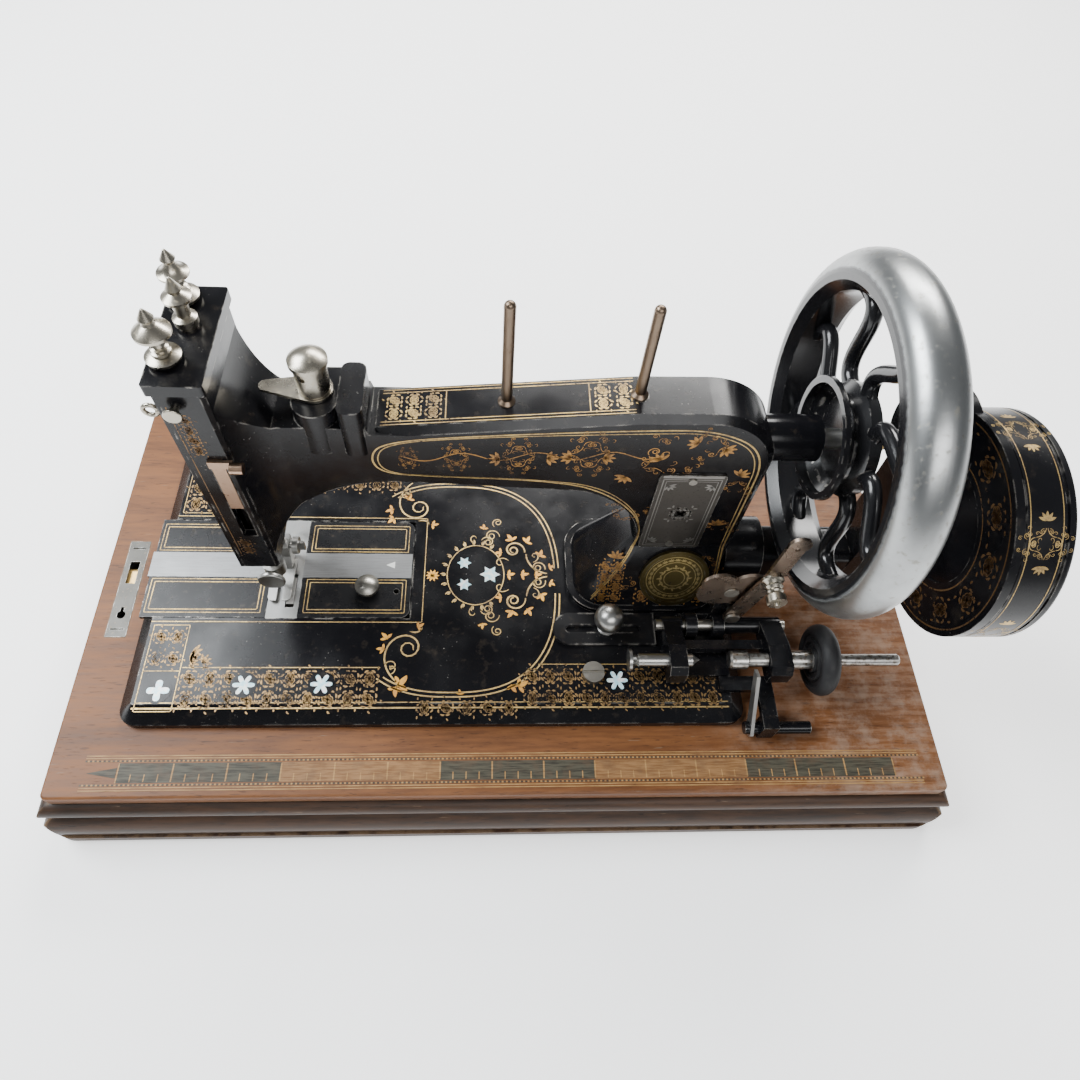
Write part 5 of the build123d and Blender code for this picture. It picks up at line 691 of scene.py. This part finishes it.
def arm_scrolls():
    """A waving stem with scrolls that grow towards the pillar, fans, and lace on the foot."""
    rows = [set_down(WINGS, x, z, turn, size, flip)
            for x, z, size in ((-46, 168.5, 0.20), (-26, 169.5, 0.26), (0, 171, 0.34), (30, 173, 0.42))
            for turn, flip in QUARTERS]
    rows += [set_down(WINGS, *spot, flip) for spot in (
        (62, 170, 215, 0.50), (80, 180, 5, 0.34), (98, 150, 90, 0.30), (98.5, 118, 90, 0.30),
        (98.5, 88, 90, 0.30), (52, 130, 250, 0.34), (58, 78, 250, 0.36)) for flip in (1, -1)]
    rows += [set_down(FAN, *spot, 1.1) for spot in (
        (12, 170, 0), (-8, 169, 180), (36, 171, 0), (22, 171, 180), (86, 178, -30), (74, 182, 160),
        (52, 92, 80), (97, 120, 90), (97, 160, 60), (60, 170, 120), (47, 158, -120))]
    rows += [lace(64, 104, 62, 71), lace(44, 58, 62, 90, 8)]
    stem_x = np.arange(-48.0, 66.0, 6.0)
    stem = np.stack((stem_x, 169 + (stem_x + 48) * 0.04 + 3.0 * np.sin(stem_x / 5.0)), 1)
    strokes = [band(stem, 0.55, rounds=2), curls(np.concatenate(rows))]
    gilding("arm_scrolls", strokes, on_arm, "machine", DARK_BRONZE)


TOP_LEFT, TOP_RIGHT = (-58.0, 184.5), (48.0, 196.0)     # two points of the arm's sloping top, x and z


def on_arm_top(x, y):
    """The arm's top, which rises evenly to the right."""
    rise = (TOP_RIGHT[1] - TOP_LEFT[1]) / (TOP_RIGHT[0] - TOP_LEFT[0])
    return np.stack((x, y, TOP_LEFT[1] + (x - TOP_LEFT[0]) * rise + LIFT), 1)


def arm_top_gilding():
    """Plain gold lines and two small lace fields along the arm's sloping top."""
    x0, x1 = -56.0, 46.0
    lines = [band(((x0, y), (x1, y)), 0.45) for y in (-9.2, -7.6, 7.6, 9.2)]
    lines += [band(((x, -7.6), (x, 7.6)), 0.45) for x in (-30.0, 28.0)]
    rows = [lace(x0 + 1, -31, -7, 7, 7), lace(29, x1, -7, 7, 7)]
    gilding("arm_top_gold", lines + [curls(np.concatenate(rows))], on_arm_top, "machine", GOLD)


def case_gilding():
    """Two rings and a ring of sprigs on the gear case's left face."""
    case_wall = 4.0
    case_left = corners("crank_bracket")[1][0] - case_wall

    def on_case(u, v):
        return np.stack((np.full_like(u, case_left - LIFT), DRUM_Y - u, DRUM_Z + v), 1)

    rings = [band(oval(0, 0, DRUM_RADIUS * share, DRUM_RADIUS * share), 0.7) for share in (0.60, 0.94)]
    rows = []
    for turn in np.arange(0, 360, 30):
        x, y = 0.77 * DRUM_RADIUS * np.array((np.cos(np.radians(turn)), np.sin(np.radians(turn))))
        rows += [set_down(SPRIG, x, y, turn + side, 1.3, flip) for side, flip in QUARTERS]
    gilding("case_bronze", rings + [curls(np.concatenate(rows))], on_case, "machine", DIM_BRONZE)


def drum_gilding():
    """Two lines and three cartouches on the drum's rim."""
    rim_middle = DRUM_LOW[0] + 8.0

    def on_rim(u, v):
        angle = u / DRUM_RADIUS
        reach = DRUM_RADIUS + LIFT
        return np.stack((rim_middle - v, DRUM_Y - reach * np.cos(angle), DRUM_Z + reach * np.sin(angle)), 1)

    rows = []
    for place in (-8, 42, 92):
        rows += [set_down(WINGS, place, 0, turn, 0.31, flip) for turn, flip in QUARTERS]
        rows += [set_down(FAN, place + side * 9, 0, 90 - side * 90, 0.8) for side in (-1, 1)]
    edges = [band(((-60, y), (150, y)), 0.4) for y in (-6.6, 6.6)]
    gilding("drum_gold", edges + [curls(np.concatenate(rows))], on_rim, "crank", GOLD)


def head_gilding():
    """Dim lace on the head's front and left faces."""
    low, high = corners("face_plate")

    def on_front(u, v):
        return np.stack((u, np.full_like(u, low[1] - LIFT), v), 1)

    rows = [lace(low[0] + 4, low[0] + 10.4, bottom, top, 6.4) for bottom, top in ((110, 123), (184, 208))]
    lines = [band(((low[0] + 3.2, 108), (low[0] + 3.2, 212)), 0.4)]
    gilding("head_front_bronze", lines + [curls(np.concatenate(rows))], on_front, "machine", DIM_BRONZE)

    def on_face(u, v):
        return np.stack((np.full_like(u, low[0] - LIFT), -u, v), 1)

    lines = [band(box_line(-19, 21, 104, 213), 0.6), band(oval(1, 160, 13, 34), 0.5)]
    rows = [set_down(WINGS, 1, z, turn, 0.42, flip)
            for z, turn in ((150, 90), (170, -90)) for flip in (1, -1)]
    rows += [lace(-17, 19, 106, 120, 9), lace(-17, 19, 196, 205, 9)]
    gilding("face_plate_bronze", lines + [curls(np.concatenate(rows))], on_face, "machine", BRONZE)


def name_plate_marks():
    """Ruled border of the bare name plate, its bright top bar, and sprigs."""
    bright = metal("plate_bright_edges", (0.30, 0.29, 0.27), 0.34)
    (x0, front, z0), (x1, _, z1) = PLATE_LOW, PLATE_HIGH

    def on_plate(u, v):
        return np.stack((u, np.full_like(u, front - LIFT), v), 1)

    lines = [band(box_line(x0 + inset, x1 - inset, z0 + inset, z1 - inset - 1), width)
             for inset, width in ((2.0, 0.5), (3.4, 0.3))]
    lines.append(band(((x0 + 1.5, z1 - 1.2), (x1 - 1.5, z1 - 1.2)), 1.6))
    rows = [set_down(FAN, *spot, 0.8) for spot in (
        (x0 + 5, z0 + 6, 45), (x1 - 5, z0 + 6, 135), (x0 + 5, z1 - 8, -45), (x1 - 5, z1 - 8, 225))]
    rows += [set_down(SPRIG, (x0 + x1) / 2, (z0 + z1) / 2, turn, 1.2, flip)
             for turn in (0, 90, 180, 270) for flip in (1, -1)]
    gilding("name_plate_border", lines + [curls(np.concatenate(rows))], on_plate, "machine", bright)


def medallion_marks():
    """Rings and two rings of petals on the floor of the leaning dish."""
    low, high = corners("medallion")
    middle, reach = (low + high) / 2, (high[0] - low[0]) / 2 - 2.2
    lean = np.arctan(FOOT_SLOPE)
    dish = 0.2 + LIFT               # the dish's floor stands this far in front of the middle

    def on_medal(u, v):
        back = v * np.sin(lean) - dish * np.cos(lean)
        up = v * np.cos(lean) + dish * np.sin(lean)
        return np.stack((middle[0] + u, middle[1] + back, middle[2] + up), 1)

    brass = gilt("medallion_raised_brass", (0.32, 0.24, 0.09), (0.13, 0.10, 0.04), 0.8)
    rings = [band(oval(0, 0, reach * share, reach * share), 0.5) for share in (0.92, 0.70, 0.34)]
    rows = []
    for motif, share, size, count in ((LEAF, 0.40, 0.5, 12), (FAN, 0.76, 0.4, 24)):
        for turn in np.arange(count) * 2 * np.pi / count:
            x, y = share * reach * np.cos(turn), share * reach * np.sin(turn)
            rows.append(set_down(motif, x, y, np.degrees(turn), size))
    gilding("medallion_pattern", rings + [curls(np.concatenate(rows))], on_medal, "machine", brass)


# ================================================================== pearl, ruler, small marks
def rosette(name, x, y, radius, lobes, depth, sharp, finish, height):
    """Flat inlay with lobes: its edge runs at radius x (1 - depth x s), where
    s = |sin(lobes x angle / 2)| ^ sharp."""
    rings = np.array((0.02, 0.5, 1.0))
    reach = radius * (1 - depth * np.abs(np.sin(lobes * CLOCKWISE / 2)) ** sharp)
    flat = rings[:, None, None] * np.stack((reach * np.cos(CLOCKWISE), reach * np.sin(CLOCKWISE)), 1)
    flat = flat.reshape(-1, 2)
    points = np.stack((x + flat[:, 0], y + flat[:, 1], np.full(len(flat), height)), 1) * MM
    piece = make_mesh(name, points, disc_faces(len(rings)))
    piece.data.materials.append(finish)
    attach(piece, "machine")


def pearl():
    """Mother of pearl: pale blue, green and pink clouds."""
    shell = Finish("mother_of_pearl", Coat_Weight=0.6, Coat_Roughness=0.08)
    clouds = shell.noise(2.6, 3)
    body = shell.mix(clouds.rise(0.42, 0.6), (0.42, 0.70, 0.78), (0.82, 0.86, 0.80))
    body = shell.mix(shell.noise(1.8, 2, shift=(4, 4, 1)).rise(0.55, 0.72) * 0.7, body, (0.80, 0.62, 0.70))
    return shell.done(body, 0.22 + clouds * 0.15, 0.1, clouds, 0.02, 0.3)


STARS = ((-25.3, 0.8, 4.0), (-25.0, -12.6, 4.0), (-11.2, -6.3, 5.6))             # x, y, radius
FLORETS = ((-172.3, -72.4, 4), (-131.9, -69.6, 6), (-94.2, -69.2, 6), (54.0, -67.4, 6))  # x, y, lobes


def inlays():
    """Pearl stars in the wreath and pearl florets in the border."""
    shell = pearl()
    dark = japan("inlay_ground", wear=0.0)
    low, high = BED_TOP + 2 * LIFT, BED_TOP + 3 * LIFT
    for index, (x, y, radius) in enumerate(STARS):
        rosette(f"pearl_star_{index}", x, y, radius, 6, 0.42, 0.8, shell, low)
    for index, (x, y, lobes) in enumerate(FLORETS):
        rosette(f"floret_ground_{index}", x, y, 6.6, 4, 0.0, 1.0, dark, low)
        rosette(f"pearl_floret_{index}", x, y, 5.4, lobes, 0.62, 3.0, shell, high)


INCH = 25.4
RULE_LEFT = -187.0
RULE_RIGHT = RULE_LEFT + 15 * INCH
RULE_Y = -109.0
RULE_HALF = 4.7                         # half of the rule's depth
ROPE_Y = 5.7                            # the two ropes of dots run this far from the rule's middle
ROPE_PITCH = 2.1
VENEER_LIFT = 0.05                      # the veneer stands this far off the board, lines twice as far


def wood_strip(name, shade, dark):
    """Thin inlaid veneer with fine grain."""
    veneer = Finish(name, Specular_IOR_Level=0.2)
    grain = veneer.noise(0.8, 4, (10, 1, 1))
    dirt = veneer.noise(9, 4, shift=(1, 5, 1)).rise(0.45, 0.7)
    body = veneer.mix(grain.rise(0.35, 0.7), shade, dark)
    body = veneer.mix(dirt * 0.4, body, (0.10, 0.06, 0.035))
    return veneer.done(body, 0.4 + grain * 0.15, None, grain, 0.03, 0.3)


def on_board(x, y):
    """Veneer, hardly proud of the board."""
    return np.stack((x, y, np.full_like(x, BOARD_TOP + VENEER_LIFT)), 1)


def over_board(x, y):
    """Lines and dots, which lie over the veneer."""
    return on_board(x, y) + np.array((0, 0, VENEER_LIFT))


def dash(x, length, y, width):
    """A short straight stroke to the right, y from the rule's middle."""
    return band(((x, RULE_Y + y), (x + length, RULE_Y + y)), width)


def ruler():
    """Inch rule let into the board's front: dark and light blocks of three inches, ticks and an arrow."""
    dark = wood_strip("rule_dark_veneer", (0.070, 0.064, 0.045), (0.030, 0.027, 0.02))
    light = wood_strip("rule_light_veneer", (0.25, 0.135, 0.058), (0.15, 0.072, 0.028))
    yellow = wood_strip("rule_boxwood_line", (0.36, 0.215, 0.085), (0.24, 0.125, 0.045))
    blocks = [dash(RULE_LEFT + 3 * INCH * index, 3 * INCH, 0, 2 * RULE_HALF) for index in range(5)]
    gilding("rule_dark_blocks", blocks[0::2], on_board, "base", dark)
    gilding("rule_light_blocks", blocks[1::2], on_board, "base", light)
    ticks = []
    for quarter in range(1, 60):
        x = RULE_LEFT + quarter * INCH / 4
        top, width = (RULE_HALF, 0.7) if quarter % 4 == 0 else (-0.3, 0.5)
        ticks.append(band(((x, RULE_Y - RULE_HALF + 0.4), (x, RULE_Y + top - 0.4)), width))
    ends = [band(((x, RULE_Y - RULE_HALF), (x, RULE_Y + RULE_HALF)), 0.6) for x in (RULE_LEFT, RULE_RIGHT)]
    left, length = RULE_LEFT - 16, RULE_RIGHT - RULE_LEFT + 30
    lines = [dash(left, length, y, 0.55) for y in (-7.0, -8.2, 7.0, 8.2)]
    gilding("rule_ticks_and_lines", ticks + ends + lines, over_board, "base", yellow)
    places = [(x, y) for x in np.arange(left, RULE_RIGHT + 13, ROPE_PITCH) for y in (-ROPE_Y, ROPE_Y)]
    arrow = [pointer(RULE_LEFT - 0.6, RULE_Y, 13.5, 5.0)]
    dots = [dash(x, 0.9, y, 0.8) for x, y in places]
    gilding("rule_arrow_and_rope", arrow + dots, over_board, "base", dark)
    pale = [dash(x + ROPE_PITCH / 2, 0.9, y, 0.8) for x, y in places]
    gilding("rule_rope_light", pale, over_board, "base", yellow)


bed_gold_lines()
bed_gold_leaves()
bed_lace()
slide_gilding()
arm_gold_lines()
arm_scrolls()
arm_top_gilding()
case_gilding()
drum_gilding()
head_gilding()
name_plate_marks()
medallion_marks()
inlays()
ruler()
look()
studio()
floor()
